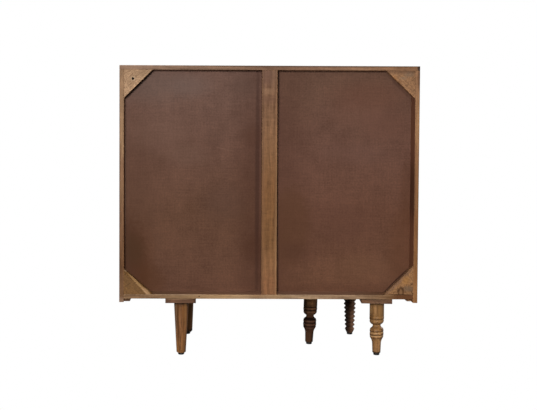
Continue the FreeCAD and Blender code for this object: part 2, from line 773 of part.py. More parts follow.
for name, side in SIDES.items():
    # The hinge stile is let in for the leaves, so that they lie flush with its edge
    blank = slab(name + "_hinge_stile_blank", across(side, hingeIn, hingeEdge), doorY, doorZ)
    slotX = across(side, hingeIn, hingeIn + s.frameGroove)
    tools = [slab(name + "_hinge_stile_groove", slotX, frameSlot, doorZ)]
    for level, low in hingeLows.items():
        bedX = across(side, hingeEdge - s.leafThick, hingeEdge)
        bedY = (front, front + s.leafDeep)
        tools.append(slab("%s_%s_bed" % (name, level), bedX, bedY, (low, low + s.hingeTall)))
        tools += hinge_screws(side, level, "door", s.screwSlack)
    label = name + "_door_hinge_stile"
    node(label, cut(label, blank, tools))

    blank = slab(name + "_lock_stile_blank", across(side, meetEdge, lockIn), doorY, doorZ)
    slotX = across(side, lockIn - s.frameGroove, lockIn)
    slot = slab(name + "_lock_stile_groove", slotX, frameSlot, doorZ)
    studHole = rod(
        name + "_stud_hole",
        s.knobStudDia + s.screwSlack * 2,
        s.knobStudLong + s.screwSlack,
        (mirrored(side, knobX), front, knobZ),
        "+y",
    )
    label = name + "_door_lock_stile"
    node(label, cut(label, blank, [slot, studHole]))

    tongueReach = s.frameGroove - s.tongueShort
    for level, span in railZ.items():
        label = "%s_door_%s_rail" % (name, level)
        blank = slab(label + "_blank", across(side, lockIn, hingeIn), doorY, span)
        tongueX = across(side, lockIn - tongueReach, hingeIn + tongueReach)
        tongue = slab(label + "_tongue", tongueX, tongueY, span)
        edge = span[1] if level == "bottom" else span[0]
        inward = edge - s.frameGroove if level == "bottom" else edge + s.frameGroove
        slotZ = (inward, edge) if level == "bottom" else (edge, inward)
        slotX = across(side, lockIn - s.frameGroove, hingeIn + s.frameGroove)
        slot = slab(label + "_groove", slotX, frameSlot, slotZ)
        node(label, cut(label, union(label + "_body", [blank, tongue]), [slot]))

    lap = s.frameGroove - s.doorPanelPlay
    panelSpan = (railZ["bottom"][1] - lap, railZ["top"][0] + lap)
    label = name + "_door_panel"
    node(label, slab(label, across(side, lockIn - lap, hingeIn + lap), tongueY, panelSpan))

    # Heights on the knob's outline are measured out from the door's face
    knobLine = [
        (None, -s.knobStudLong),
        (s.knobStudDia / 2, -s.knobStudLong),
        (s.knobStudDia / 2, zero),
        (s.knobBaseDia / 2, zero),
        (s.knobBaseDia / 2, s.knobBaseTall),
        (s.knobNeckDia / 2, s.knobBaseTall + s.knobBaseTall / 2),
        (s.knobNeckDia / 2, s.knobReach - s.knobHeadTall),
        (s.knobDia / 2, s.knobReach - s.knobHeadTall / 2, -s.knobCrown / 2),
        (s.knobDia / 2 - s.knobCrown / 2, s.knobReach - s.knobCrown, -s.knobCrown / 4),
        (s.knobFlatDia / 2, s.knobReach, -s.knobCrown / 8),
        (None, s.knobReach),
    ]
    label = name + "_door_knob"
    node(label, turned(label, knobLine, mirrored(side, knobX), front, knobZ, "-y"))


# Hinges

def knuckles(name, side, low, slots, leaf_x):
    """Barrels in the given thirds of a hinge, with the tabs that join them to their leaf."""
    x, y = hinge_axis(side)
    third = s.hingeTall / 3
    made = []
    for slot in slots:
        lowGap = zero if slot == 0 else s.knuckleGap / 2
        highGap = zero if slot == 2 else s.knuckleGap / 2
        start = low + third * slot + lowGap
        length = third - lowGap - highGap
        made.append(rod("%s_barrel_%d" % (name, slot), s.knuckleDia, length, (x, y, start), "+z"))
        tabY = (y, front + s.knuckleGap * 2)
        made.append(slab("%s_tab_%d" % (name, slot), leaf_x, tabY, (start, start + length)))
    return made


def hinge_leaf(name, side, level, slots, span, where):
    """One leaf: a plate, its share of the knuckles, the pin's bore and the screw holes."""
    low = hingeLows[level]
    x, y = hinge_axis(side)
    leafX = across(side, *span)
    clear = front + s.knuckleGap
    plate = slab(name + "_plate", leafX, (clear, front + s.leafDeep), (low, low + s.hingeTall))
    whole = union(name + "_whole", [plate] + knuckles(name, side, low, slots, leafX))
    bore = rod(name + "_bore", s.pinDia + s.pinSlack * 2, s.hingeTall, (x, y, low), "+z")
    return cut(name, whole, [bore] + hinge_screws(side, level, where, s.screwSlack))


carcassSpan = (inner - s.leafThick, inner)
doorSpan = (hingeEdge - s.leafThick, hingeEdge)
carcassLeaves = []
carcassFixings = []
pins = []
for name, side in SIDES.items():
    doorLeaves = []
    doorFixings = []
    for level, low in hingeLows.items():
        title = "%s_%s" % (name, level)
        carcassLeaves.append(
            hinge_leaf(title + "_carcass_leaf", side, level, (0, 2), carcassSpan, "carcass")
        )
        doorLeaves.append(hinge_leaf(title + "_door_leaf", side, level, (1,), doorSpan, "door"))
        carcassFixings += hinge_screws(side, level, "carcass")
        doorFixings += hinge_screws(side, level, "door")
        x, y = hinge_axis(side)
        head = s.pinHeadTall
        pins.append(
            union(
                title + "_pin",
                [
                    rod(title + "_pin_shaft", s.pinDia, s.hingeTall, (x, y, low), "+z"),
                    rod(title + "_pin_foot", s.pinHeadDia, head, (x, y, low - head), "+z"),
                    rod(title + "_pin_head", s.pinHeadDia, head, (x, y, low + s.hingeTall), "+z"),
                ],
            )
        )
    node(name + "_hinge_door_leaves", group(name + "_hinge_door_leaves", doorLeaves))
    node(name + "_hinge_door_screws", group(name + "_hinge_door_screws", doorFixings))
node("hinge_carcass_leaves", group("hinge_carcass_leaves", carcassLeaves))
node("hinge_carcass_screws", group("hinge_carcass_screws", carcassFixings))
node("hinge_pins", group("hinge_pins", pins))


# Catches and strike plates

strikeY = (doorBack, doorBack + s.strikeThick)
catchFront = doorBack + s.strikeThick + s.catchGap
catchY = (catchFront, catchFront + s.catchDeep)
catchZ = (topUnder - s.catchTall, topUnder)
strikeMid = topUnder - s.catchTall / 2
strikeZ = (strikeMid - s.strikeTall / 2, strikeMid + s.strikeTall / 2)
for name, side in SIDES.items():
    half = s.catchWide / 2
    catchX = across(side, s.catchX - half, s.catchX + half)
    node(name + "_catch", slab(name + "_catch", catchX, catchY, catchZ))
    half = s.strikeWide / 2
    strikeX = across(side, s.catchX - half, s.catchX + half)
    node(name + "_door_strike", slab(name + "_door_strike", strikeX, strikeY, strikeZ))


# Shelves and their pins

shelfY = (shelfFront, shelfRear)
shelfZ = (shelfFoot, shelfFoot + s.shelfThick)
allPins = []
for name, side in SIDES.items():
    shelfX = across(side, partHalf + s.shelfPlay, inner - s.shelfPlay)
    node("shelf_" + name, slab("shelf_" + name, shelfX, shelfY, shelfZ))
    for end in ("outer", "inner"):
        allPins += shelf_pins(side, end)
node("shelf_pins", group("shelf_pins", allPins))


# Stemware rails under the top board, in the left bay

bayMiddle = (partHalf + inner) / 2
railRear = shelfRear - s.shelfPinSet
rails = []
for i in range(STEMWARE_RAILS):
    middle = -bayMiddle + s.railPitch * (i - (STEMWARE_RAILS - 1) / 2)
    railY = (railRear - s.railLong, railRear)
    webFoot = topUnder - s.railWebTall
    web = slab(
        "rail_web_%d" % i,
        (middle - s.railWebWide / 2, middle + s.railWebWide / 2),
        railY,
        (webFoot, topUnder),
    )
    flange = slab(
        "rail_flange_%d" % i,
        (middle - s.railFlangeWide / 2, middle + s.railFlangeWide / 2),
        railY,
        (webFoot - s.railFlangeThick, webFoot),
    )
    rails.append(union("rail_%d" % i, [web, flange]))
node("stemware_rails", group("stemware_rails", rails))


# Bottle rails on the bottom board, in the right bay

frontRail = doorBack + s.bottleRailSet
rearRail = frontRail + s.bottleRailThick + s.bottleRailSpan
bottleRails = {
    "front": (frontRail, s.frontRailTall, s.bottleNeckDia),
    "rear": (rearRail, s.rearRailTall, s.bottleDia),
}
railX = (partHalf + s.bottleRailPlay, inner - s.bottleRailPlay)
for name, (y, tall, dia) in bottleRails.items():
    label = "bottle_rail_" + name
    top = floorTop + tall
    blank = slab(label + "_blank", railX, (y, y + s.bottleRailThick), (floorTop, top))
    notches = []
    for i in range(BOTTLES):
        x = bayMiddle + s.bottlePitch * (i - (BOTTLES - 1) / 2)
        notches.append(
            rod("%s_notch_%d" % (label, i), dia, s.bottleRailThick, (x, y, top), "+y")
        )
    node(label, cut(label, blank, notches))


doc.recompute()
for obj in doc.Objects:
    if "Invalid" in obj.State or "Error" in obj.State:
        raise RuntimeError("%s did not build: %s" % (obj.Label, obj.State))
for piece in parts:
    if piece.Shape.isNull() or not piece.Shape.isValid():
        raise RuntimeError("%s has no valid shape" % piece.Label)

os.makedirs("parts", exist_ok=True)
for piece in parts:
    piece.Shape.exportStep("parts/%s.step" % piece.Label)
print("%d pieces written" % len(parts))
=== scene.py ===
import json
import math

import bmesh
import bpy
from mathutils import Euler, Matrix, Vector

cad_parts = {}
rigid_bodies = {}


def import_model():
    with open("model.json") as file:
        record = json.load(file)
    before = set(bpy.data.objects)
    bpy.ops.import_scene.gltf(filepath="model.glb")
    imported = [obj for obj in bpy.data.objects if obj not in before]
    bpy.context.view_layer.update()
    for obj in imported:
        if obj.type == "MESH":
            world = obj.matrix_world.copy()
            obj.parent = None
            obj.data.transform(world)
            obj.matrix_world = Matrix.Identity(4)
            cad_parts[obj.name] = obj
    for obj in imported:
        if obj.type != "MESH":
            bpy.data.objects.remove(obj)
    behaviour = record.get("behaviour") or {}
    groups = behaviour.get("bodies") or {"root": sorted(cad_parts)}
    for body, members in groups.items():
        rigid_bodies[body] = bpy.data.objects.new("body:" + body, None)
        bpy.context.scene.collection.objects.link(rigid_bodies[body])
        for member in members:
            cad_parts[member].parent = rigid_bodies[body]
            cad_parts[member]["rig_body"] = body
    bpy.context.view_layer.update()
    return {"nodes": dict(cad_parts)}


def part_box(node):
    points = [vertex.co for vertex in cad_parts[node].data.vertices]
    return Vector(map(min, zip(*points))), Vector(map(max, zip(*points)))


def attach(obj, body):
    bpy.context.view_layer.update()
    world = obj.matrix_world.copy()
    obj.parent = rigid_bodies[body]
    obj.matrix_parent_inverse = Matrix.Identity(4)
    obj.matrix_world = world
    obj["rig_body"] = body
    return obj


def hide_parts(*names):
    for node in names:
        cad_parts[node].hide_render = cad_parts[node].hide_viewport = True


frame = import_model()
nodes = frame["nodes"]
mm = 0.001
print("frame loaded:", len(nodes), "CAD nodes")


def hexColour(code):
    # sRGB hex to the linear values that a shader socket takes
    channels = [int(code[i:i + 2], 16) / 255 for i in (1, 3, 5)]
    linear = [c / 12.92 if c <= 0.04045 else ((c + 0.055) / 1.055) ** 2.4 for c in channels]
    return (*linear, 1.0)


def addNode(tree, kind, inputs=None, stops=None, **settings):
    # stops are a ramp's (position, hex) pairs; inputs take a socket to link or a value to set
    node = tree.nodes.new("ShaderNode" + kind)
    for key, value in settings.items():
        setattr(node, key, value)
    if stops:
        while len(node.color_ramp.elements) < len(stops):
            node.color_ramp.elements.new(0.5)
        for element, (position, code) in zip(node.color_ramp.elements, stops):
            element.position = position
            element.color = hexColour(code)
    for key, value in (inputs or {}).items():
        if isinstance(value, bpy.types.NodeSocket):
            tree.links.new(value, node.inputs[key])
        else:
            node.inputs[key].default_value = value
    return node


shaderSockets = {"ior": "IOR", "specular": "Specular IOR Level", "metallic": "Metallic"}


def startMaterial(name, look):
    # what a look leaves out keeps the shader's default
    material = bpy.data.materials.new(name)
    material.use_nodes = True
    tree = material.node_tree
    tree.nodes.clear()
    values = {socket: look[key] for key, socket in shaderSockets.items() if key in look}
    surface = addNode(tree, "BsdfPrincipled", values)
    addNode(tree, "OutputMaterial", {"Surface": surface.outputs["BSDF"]})
    return material, tree, surface


def finishSurface(tree, surface, look, colour, pattern, relief):
    # over its span the pattern takes the roughness from the first value to the second; relief is the bump
    tree.links.new(colour, surface.inputs["Base Color"])
    dull = addNode(tree, "MapRange", {0: pattern, 1: look["span"][0], 2: look["span"][1],
                                      3: look["roughness"][0], 4: look["roughness"][1]})
    tree.links.new(dull.outputs[0], surface.inputs["Roughness"])
    bump = addNode(tree, "Bump", {"Height": relief, "Strength": look["bump"],
                                  "Distance": look["bumpMm"] * mm})
    tree.links.new(bump.outputs[0], surface.inputs["Normal"])


def mark(at, size, colour, strength, soft=0.35, ragged=0.5, turn=0):
    # one knot, stain, scratch or sun-paled end, or a painted shadow, painted shade, painted highlight or grey
    # painted sheen. Its place and half size are in mm, soft and ragged are shares of that size at its edge,
    # and turn is in degrees in the plane of the back
    return {"at": at, "size": size, "colour": colour, "strength": strength, "soft": soft, "ragged": ragged,
            "turn": turn}


raggedMm = 14  # size of the waves in a ragged edge


def paintMarks(tree, coords, colour, marks):
    for spot in marks:
        waves = addNode(tree, "TexNoise", {"Vector": coords, "Scale": 1000 / raggedMm, "Detail": 3.0})
        middle = Vector(spot["at"]) * mm
        away = addNode(tree, "VectorMath", {0: coords, 1: middle}, operation="SUBTRACT").outputs[0]
        if spot["turn"]:
            away = addNode(tree, "VectorRotate", {"Vector": away, "Angle": math.radians(spot["turn"])},
                           rotation_type="Y_AXIS").outputs[0]
        reach = Vector([1000 / size for size in spot["size"]])
        scaled = addNode(tree, "VectorMath", {0: away, 1: reach}, operation="MULTIPLY")
        far = addNode(tree, "VectorMath", {0: scaled.outputs[0]}, operation="LENGTH")
        uneven = addNode(tree, "Math", {0: waves.outputs[0], 1: spot["ragged"], 2: far.outputs["Value"]},
                         operation="MULTIPLY_ADD").outputs[0]
        edge = 1 + spot["ragged"] / 2  # the waves average a half
        share = addNode(tree, "MapRange", {0: uneven, 1: edge - spot["soft"], 2: edge + spot["soft"],
                                           3: spot["strength"], 4: 0.0}, interpolation_type="SMOOTHSTEP")
        colour = addNode(tree, "Mix", {0: share.outputs[0], 6: colour, 7: hexColour(spot["colour"])},
                         data_type="RGBA").outputs[2]
    return colour


def layPatterns(tree, coords, patterns, shareToCome=0.0):
    # noises drawn out by their stretch and added up, each by its share, to a tone that averages a half.
    # shareToCome leaves room for a pattern that is added afterwards
    shares = sum(pattern["share"] for pattern in patterns.values())
    tone = 0.5 - (shares + shareToCome) / 2
    sockets = {}
    for key, pattern in patterns.items():
        stretched = addNode(tree, "VectorMath", {0: coords, 1: pattern["stretch"]}, operation="MULTIPLY")
        noise = addNode(tree, "TexNoise", {"Vector": stretched.outputs[0], "Scale": 1000 / pattern["sizeMm"],
                                           "Detail": pattern["detail"]})
        sockets[key] = noise.outputs["Fac"]
        tone = addNode(tree, "Math", {0: sockets[key], 1: pattern["share"], 2: tone},
                       operation="MULTIPLY_ADD").outputs[0]
    sockets["tone"] = tone
    return sockets


patternTint = [(0.2, "#7C736A"), (0.5, "#BCBCBC"), (0.8, "#EDEAE5")]  # dark streaks are the warmer ones


def stainAlong(tree, coords, look, nodeName, blur, tone):
    # stain from the low end of the longest side to the high end, its tones run together by a pattern,
    # then lightened or darkened by the tone of all patterns
    low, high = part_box(nodeName)
    longest = max(range(3), key=lambda i: high[i] - low[i])
    along = addNode(tree, "SeparateXYZ", {0: coords}).outputs[longest]
    reach = look["blurMm"] * mm
    wavy = addNode(tree, "Math", {0: blur, 1: reach, 2: along}, operation="MULTIPLY_ADD").outputs[0]
    place = addNode(tree, "MapRange", {0: wavy, 1: low[longest] + reach / 2, 2: high[longest] + reach / 2})
    stain = addNode(tree, "ValToRGB", {"Fac": place.outputs[0]}, stops=look["tones"])
    shade = addNode(tree, "ValToRGB", {"Fac": tone}, stops=patternTint)
    return addNode(tree, "Mix", {0: 1.0, 6: stain.outputs["Color"], 7: shade.outputs["Color"]},
                   data_type="RGBA", blend_type="OVERLAY").outputs[2]


# Grain of stained wood. Real fibres are 0.2 mm across and are drawn 1.6 mm, so that they show at all
grainPatterns = {
    "drift": {"stretch": (0.25, 1, 1), "sizeMm": 60.0, "detail": 2.0, "share": 0.45},
    "streaks": {"stretch": (0.08, 1, 1), "sizeMm": 5.0, "detail": 3.0, "share": 0.55},
    "fibre": {"stretch": (0.04, 1, 1), "sizeMm": 1.6, "detail": 2.0, "share": 0.4},
    "curl": {"stretch": (1, 0.3, 0.3), "sizeMm": 6.0, "detail": 2.0, "share": 0.2},
    "speck": {"stretch": (1, 1, 1), "sizeMm": 3.5, "detail": 2.0, "share": 0.0},
}
growthRings = {"stretch": (0.12, 1, 1), "sizeMm": 11.0, "detail": 2.0, "share": 0.12, "bend": 9.0,
               "bendScale": 0.7}
waveMm = 314  # a wave texture of scale 1 repeats every 0.314 m
alongX = (0, 0, 0)  # turns of the grain, in degrees
alongY = (0, 0, -90)
alongZ = (0, 90, 0)


def drawGrain(tree, look, nodeName):
    # a look may set any pattern's share by its name and its size by the name with Mm
    low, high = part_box(nodeName)
    centre = (low + high) / 2
    turn = Euler([math.radians(angle) for angle in look["grain"]])
    shift = Vector(look["pithMm"]) * mm - turn.to_matrix() @ centre
    coords = addNode(tree, "TexCoord").outputs["Object"]
    placed = addNode(tree, "Mapping", {"Vector": coords, "Location": shift, "Rotation": turn}).outputs[0]
    patterns = {}
    for key, pattern in grainPatterns.items():
        patterns[key] = {**pattern, "share": look.get(key, pattern["share"]),
                         "sizeMm": look.get(key + "Mm", pattern["sizeMm"])}
    ringShare = look.get("rings", growthRings["share"])
    ringMm = look.get("ringMm", growthRings["sizeMm"])
    sockets = layPatterns(tree, placed, patterns, ringShare)
    drawnOut = addNode(tree, "VectorMath", {0: placed, 1: growthRings["stretch"]}, operation="MULTIPLY")
    rings = addNode(tree, "TexWave", {"Vector": drawnOut.outputs[0], "Scale": waveMm / ringMm,
                                      "Distortion": growthRings["bend"], "Detail": growthRings["detail"],
                                      "Detail Scale": growthRings["bendScale"]},
                    wave_type="RINGS", rings_direction="X")
    sockets["tone"] = addNode(tree, "Math", {0: rings.outputs["Fac"], 1: ringShare, 2: sockets["tone"]},
                              operation="MULTIPLY_ADD").outputs[0]
    sockets["coords"] = coords
    sockets["colour"] = stainAlong(tree, coords, look, nodeName, sockets["streaks"], sockets["tone"])
    return sockets


# Planed boards, where a look says nothing else. Rubbed arrises fade out between the two wearMm
planedFinish = {
    "ior": 1.5, "specular": 0.12, "span": (0.2, 0.8), "roughness": (0.65, 0.49), "bump": 0.3, "bumpMm": 0.25,
    "blurMm": 90.0, "wear": 0, "wearMm": (1.8, 5.1), "wearWavesMm": 3.0, "marks": [],
}
# pores are 0.3 by 6 mm, drawn 1.1 by 12 mm so that they show
woodPores = {"stretch": (0.09, 1, 1), "sizeMm": 1.1, "opening": (0.58, 0.72), "dark": 0.4, "sunk": 0.8}


def planedWood(name, look, nodeName):
    # mango wood, planed, sanded and oil stained: long streaks, cross flecks where the fibres wave,
    # short open pores filled dark, a dull sheen, and arrises rubbed paler by handling
    look = {**planedFinish, **look}
    material, tree, surface = startMaterial(name, look)
    sockets = drawGrain(tree, look, nodeName)
    coords = sockets["coords"]
    turn = Euler([math.radians(angle) for angle in look["grain"]])
    dashes = addNode(tree, "Mapping", {"Vector": coords, "Rotation": turn}).outputs[0]
    dashes = addNode(tree, "VectorMath", {0: dashes, 1: woodPores["stretch"]}, operation="MULTIPLY")
    pores = addNode(tree, "TexNoise", {"Vector": dashes.outputs[0], "Scale": 1000 / woodPores["sizeMm"],
                                       "Detail": 1.0})
    closed, opened = woodPores["opening"]
    pored = addNode(tree, "MapRange", {0: pores.outputs["Fac"], 1: closed, 2: opened, 3: 0.0,
                                       4: woodPores["dark"]}).outputs[0]
    colour = addNode(tree, "Mix", {0: pored, 6: sockets["colour"], 7: hexColour(look["pore"])},
                     data_type="RGBA").outputs[2]

    if look["wear"] > 0:
        # distance to the second nearest pair of faces is the distance to the nearest arris
        low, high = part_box(nodeName)
        half = (high - low) / 2
        inside = addNode(tree, "VectorMath", {0: coords, 1: (low + high) / 2}, operation="SUBTRACT")
        folded = addNode(tree, "VectorMath", {0: inside.outputs[0]}, operation="ABSOLUTE")
        depth = addNode(tree, "VectorMath", {0: half, 1: folded.outputs[0]}, operation="SUBTRACT")
        split = addNode(tree, "SeparateXYZ", {0: depth.outputs[0]}).outputs
        lowXY = addNode(tree, "Math", {0: split[0], 1: split[1]}, operation="MINIMUM").outputs[0]
        highXY = addNode(tree, "Math", {0: split[0], 1: split[1]}, operation="MAXIMUM").outputs[0]
        middle = addNode(tree, "Math", {0: highXY, 1: split[2]}, operation="MINIMUM").outputs[0]
        second = addNode(tree, "Math", {0: lowXY, 1: middle}, operation="MAXIMUM").outputs[0]
        uneven = addNode(tree, "Math", {0: sockets["drift"], 1: look["wearWavesMm"] * mm, 2: second},
                         operation="MULTIPLY_ADD").outputs[0]
        near, far = look["wearMm"]
        rubbed = addNode(tree, "MapRange", {0: uneven, 1: near * mm, 2: far * mm, 3: look["wear"], 4: 0.0})
        colour = addNode(tree, "Mix", {0: rubbed.outputs[0], 6: colour, 7: hexColour(look["rubbed"])},
                         data_type="RGBA").outputs[2]

    colour = paintMarks(tree, coords, colour, look["marks"])
    relief = addNode(tree, "Math", {0: pored, 1: -woodPores["sunk"], 2: sockets["fibre"]},
                     operation="MULTIPLY_ADD").outputs[0]
    finishSurface(tree, surface, look, colour, sockets["tone"], relief)
    return material


def addPiece(name, build, nodeName, smoothDegrees=None):
    # the built mesh takes the CAD node's place and rides on the same body
    mesh = bpy.data.meshes.new(name)
    build.to_mesh(mesh)
    build.free()
    if smoothDegrees:
        mesh.shade_smooth()
        mesh.set_sharp_from_angle(angle=math.radians(smoothDegrees))
    piece = bpy.data.objects.new(name, mesh)
    bpy.context.scene.collection.objects.link(piece)
    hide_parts(nodeName)
    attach(piece, nodes[nodeName]["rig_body"])
    return piece


# How near points are welded, how flat faces are joined, and how sharp and long an arris is to be rounded
shaping = {"weldMm": 0.004, "flatDegrees": 0.4, "sharpDegrees": 25, "longMm": 9, "steps": 3,
           "smoothDegrees": 32}


def pieceFromNode(nodeName, look):
    # a copy of the CAD node with its long arrises rounded over by ease in mm, or else shaded smooth.
    # A lean, skew or turn in the look is a small fault of this one cabinet
    build = bmesh.new()
    build.from_mesh(nodes[nodeName].data)
    bmesh.ops.remove_doubles(build, verts=build.verts, dist=shaping["weldMm"] * mm)
    if "ease" in look:
        bmesh.ops.dissolve_limit(build, angle_limit=math.radians(shaping["flatDegrees"]), verts=build.verts,
                                 edges=build.edges)
        arrises = [edge for edge in build.edges if len(edge.link_faces) == 2 and edge.is_convex
                   and edge.calc_face_angle() > math.radians(shaping["sharpDegrees"])
                   and edge.calc_length() > shaping["longMm"] * mm]
        bmesh.ops.bevel(build, geom=arrises, offset=look["ease"] * mm, offset_type="OFFSET",
                        segments=shaping["steps"], profile=0.5, affect="EDGES", clamp_overlap=False)
    if "lean" in look:  # fixed slightly out of plumb
        lean = look["lean"]
        for point in build.verts:
            point.co.x += lean["slope"] * (point.co.z - lean["fromMm"] * mm)
    if "skew" in look:  # beads turned a little out of square, level again towards both ends
        skew = look["skew"]
        for point in build.verts:
            inside = min(point.co.z / mm - skew["lowMm"], skew["highMm"] - point.co.z / mm)
            share = max(0.0, min(1.0, inside / skew["fadeMm"]))
            point.co.z += skew["slope"] * share * (skew["axisMm"] * mm - point.co.x)
    if "turn" in look:  # screwed on slightly askew
        turn = look["turn"]
        centre = Vector((*turn["aboutMm"], 0)) * mm
        spin = Matrix.Rotation(math.radians(turn["degrees"]), 3, "Z")
        for point in build.verts:
            away = point.co - centre
            if away.xy.length < turn["reachMm"] * mm:
                point.co = centre + spin @ away
    smoothDegrees = None if "ease" in look else shaping["smoothDegrees"]
    return addPiece(nodeName + "_piece", build, nodeName, smoothDegrees)


def dress(target, material):
    target.data.materials.clear()
    target.data.materials.append(material)


# Carcass boards. Tones run from the low end of the longest side to the high end, ease is in mm, and
# marks at y 225 lie on the rear edges
carcassBoards = {
    "top_board": {
        "grain": (0, 3, 0), "pithMm": (130, 40, -70), "ease": 1.0, "pore": "#4A3427", "wear": 0.15,
        "rubbed": "#957558", "rings": 0.14, "ringMm": 19.0, "streaks": 0.4,
        "tones": [(0.09, "#91694B"), (0.20, "#8A674E"), (0.36, "#88644C"), (0.50, "#7A5943"),
                  (0.66, "#755843"), (0.93, "#8C6D57")],
        "marks": [
            mark((-500, 222, 977), (9, 30, 16), "#3A2A22", 0.95, ragged=0.2),
            mark((-160, 225, 983.5), (390, 9, 4.4), "#473222", 0.7, soft=0.3),
        ],
    },
    "bottom_board": {
        "grain": alongX, "pithMm": (40, 60, 120), "ease": 0.8, "pore": "#5F4631", "wear": 0.1,
        "rubbed": "#B59A7C",
        "tones": [(0.08, "#785637"), (0.20, "#A38366"), (0.39, "#AE8E6F"), (0.55, "#86684B"),
                  (0.65, "#A98660"), (0.80, "#8B6D4E"), (0.93, "#88684A")],
        "marks": [
            mark((0, 196, 220), (520, 42, 2.2), "#A0725E", 0.85, ragged=0.2),
            mark((-464, 222, 211), (46, 20, 16), "#62391E", 0.75, ragged=0.2),
            mark((400, 225, 204.5), (60, 20, 3.5), "#543C28", 0.6),
            mark((92, 225, 212), (36, 20, 9), "#C5A27C", 0.35, soft=0.5),
            mark((-42, 225, 212), (36, 20, 9), "#82653F", 0.3, soft=0.5),
            mark((-80, 225, 205), (36, 20, 4), "#654B34", 0.55),
            mark((300, 225, 219), (118, 7, 2.5), "#C4A484", 0.45),
            mark((285, 225, 206), (80, 20, 7), "#765A3E", 0.5, soft=0.5),
            mark((-140, 225, 219), (120, 7, 2.5), "#C4A484", 0.5),
            mark((232, 226, 212.4), (2.6, 6, 2.0), "#402C1C", 0.9, ragged=0.2),
        ],
    },
    "side_right": {
        "grain": (0, 93, 0), "pithMm": (60, 40, 60), "ease": 1.0, "pore": "#452F21", "wear": 0.2,
        "rubbed": "#8E6C50", "rings": 0.14, "ringMm": 19.0, "streaks": 0.4, "speck": 0.15, "curl": 0.12,
        "tones": [(0.06, "#725136"), (0.15, "#5C3C22"), (0.30, "#6A4930"), (0.45, "#7A563A"),
                  (0.61, "#846044"), (0.67, "#927050"), (0.95, "#88694D")],
        "marks": [
            mark((493, 225, 860), (11, 20, 45), "#71543A", 0.4, soft=0.6),
            mark((493, 225, 560), (11, 20, 45), "#93704F", 0.35, soft=0.6),
            mark((493, 225, 196), (11, 20, 12), "#927560", 0.6, soft=0.5),
            # a dark strip down the outer arris: painted shade
            mark((500, 225, 590), (3.2, 20, 430), "#4E3524", 0.45, ragged=0.2),
            # pale marks on the inner face in the recess: painted light where the face lies in shade
            mark((485, 205, 340), (2, 30, 130), "#A9764E", 0.45, soft=0.5),
            mark((485, 178, 594), (2, 15, 420), "#A88C76", 0.6, ragged=0.2),
        ],
    },
    "side_left": {
        "grain": (0, 87, 0), "pithMm": (-40, -30, 65), "ease": 1.0, "pore": "#4A3120", "wear": 0.25,
        "rubbed": "#AE8459", "rings": 0.14, "ringMm": 19.0, "streaks": 0.4, "speck": 0.15, "curl": 0.12,
        "tones": [(0.05, "#9B6C42"), (0.18, "#91643C"), (0.42, "#8D603C"), (0.55, "#9B6E4A"),
                  (0.64, "#8D6545"), (0.73, "#AD815A"), (0.97, "#926A4C")],
        "marks": [
            # a darker face inside the recess: painted shade
            mark((-485, 197, 594), (2, 45, 420), "#784D3A", 0.85, ragged=0.2),
            mark((-492, 225, 635), (11, 20, 32), "#7A5434", 0.4, soft=0.6),
            mark((-492, 225, 530), (11, 20, 30), "#A67A52", 0.3, soft=0.6),
            mark((-498, 225, 940), (6, 20, 38), "#4A3024", 0.65, soft=0.5),
            # a dark strip down the outer arris: painted shade
            mark((-500, 225, 590), (3.2, 20, 430), "#5F4330", 0.5, ragged=0.2),
            mark((-485, 200, 565), (4.5, 45, 95), "#452A1C", 0.6, soft=0.5),
        ],
    },
    "rear_stile": {
        "grain": alongZ, "pithMm": (90, 60, 50), "ease": 1.0, "pore": "#492F1E", "wear": 0.25,
        "rubbed": "#8F6945", "curl": 0.25, "streaks": 0.3, "speck": 0.15,
        "lean": {"slope": 0.0018, "fromMm": 950},
        "tones": [(0.06, "#825839"), (0.13, "#875E3C"), (0.24, "#75502E"), (0.46, "#734D2B"),
                  (0.68, "#7C5738"), (0.90, "#7F5B41"), (1.0, "#765641")],
        "marks": [
            mark((9, 225, 948), (17, 20, 32), "#664538", 0.5, soft=0.6),
            mark((8, 225, 899), (20, 20, 9), "#9C7759", 0.35, soft=0.8),
            mark((4, 225, 871), (26, 20, 13), "#664433", 0.35, soft=0.7),
            mark((24, 225, 560), (9, 20, 420), "#5E4331", 0.35, soft=0.6),
            mark((-25, 225, 430), (5, 20, 300), "#A8835F", 0.25, soft=0.6),
        ],
    },
    "cleat_right": {
        "grain": alongY, "pithMm": (10, 30, 40), "ease": 0.8, "pore": "#2E1C10", "wear": 0.1,
        "rubbed": "#6E5139",
        "tones": [(0.3, "#533823"), (0.8, "#593D27")],
    },
    "cleat_left": {
        "grain": alongY, "pithMm": (50, -20, 40), "ease": 0.8, "pore": "#42291A", "wear": 0.1,
        "rubbed": "#9A7857",
        "tones": [(0.3, "#A58267"), (0.8, "#9C775A")],
    },
}
for boardName, look in carcassBoards.items():
    board = pieceFromNode(boardName, look)
    dress(board, planedWood("mangoPlanedOiled_" + boardName, look, boardName))
print("carcass boards:", len(carcassBoards))

# Boards inside the cabinet, cleaner than the outside
insideBoards = {
    "centre_partition": {"grain": alongZ, "pithMm": (20, 40, 60)},
    "shelf_left": {"grain": alongX, "pithMm": (20, 70, -90)},
    "shelf_right": {"grain": alongX, "pithMm": (-160, -50, 80)},
    "stemware_rails": {"grain": alongY, "pithMm": (0, 40, 90), "wear": 0},
    "bottle_rail_front": {"grain": alongX, "pithMm": (30, 40, 60), "wear": 0},
    "bottle_rail_rear": {"grain": alongX, "pithMm": (-70, 50, 40), "wear": 0},
}
insideStain = {
    "tones": [(0.1, "#876448"), (0.45, "#8F6B4F"), (0.8, "#82603F")], "pore": "#4A3324", "ease": 0.7,
    "wear": 0.15, "rubbed": "#A08264", "rings": 0.25, "ringMm": 19.0, "streaks": 0.35, "streaksMm": 6.0,
    "drift": 0.6,
}
for boardName, place in insideBoards.items():
    look = {**insideStain, **place}
    board = pieceFromNode(boardName, look)
    dress(board, planedWood("mangoPlanedOiled_" + boardName, look, boardName))
print("inside boards:", len(insideBoards))

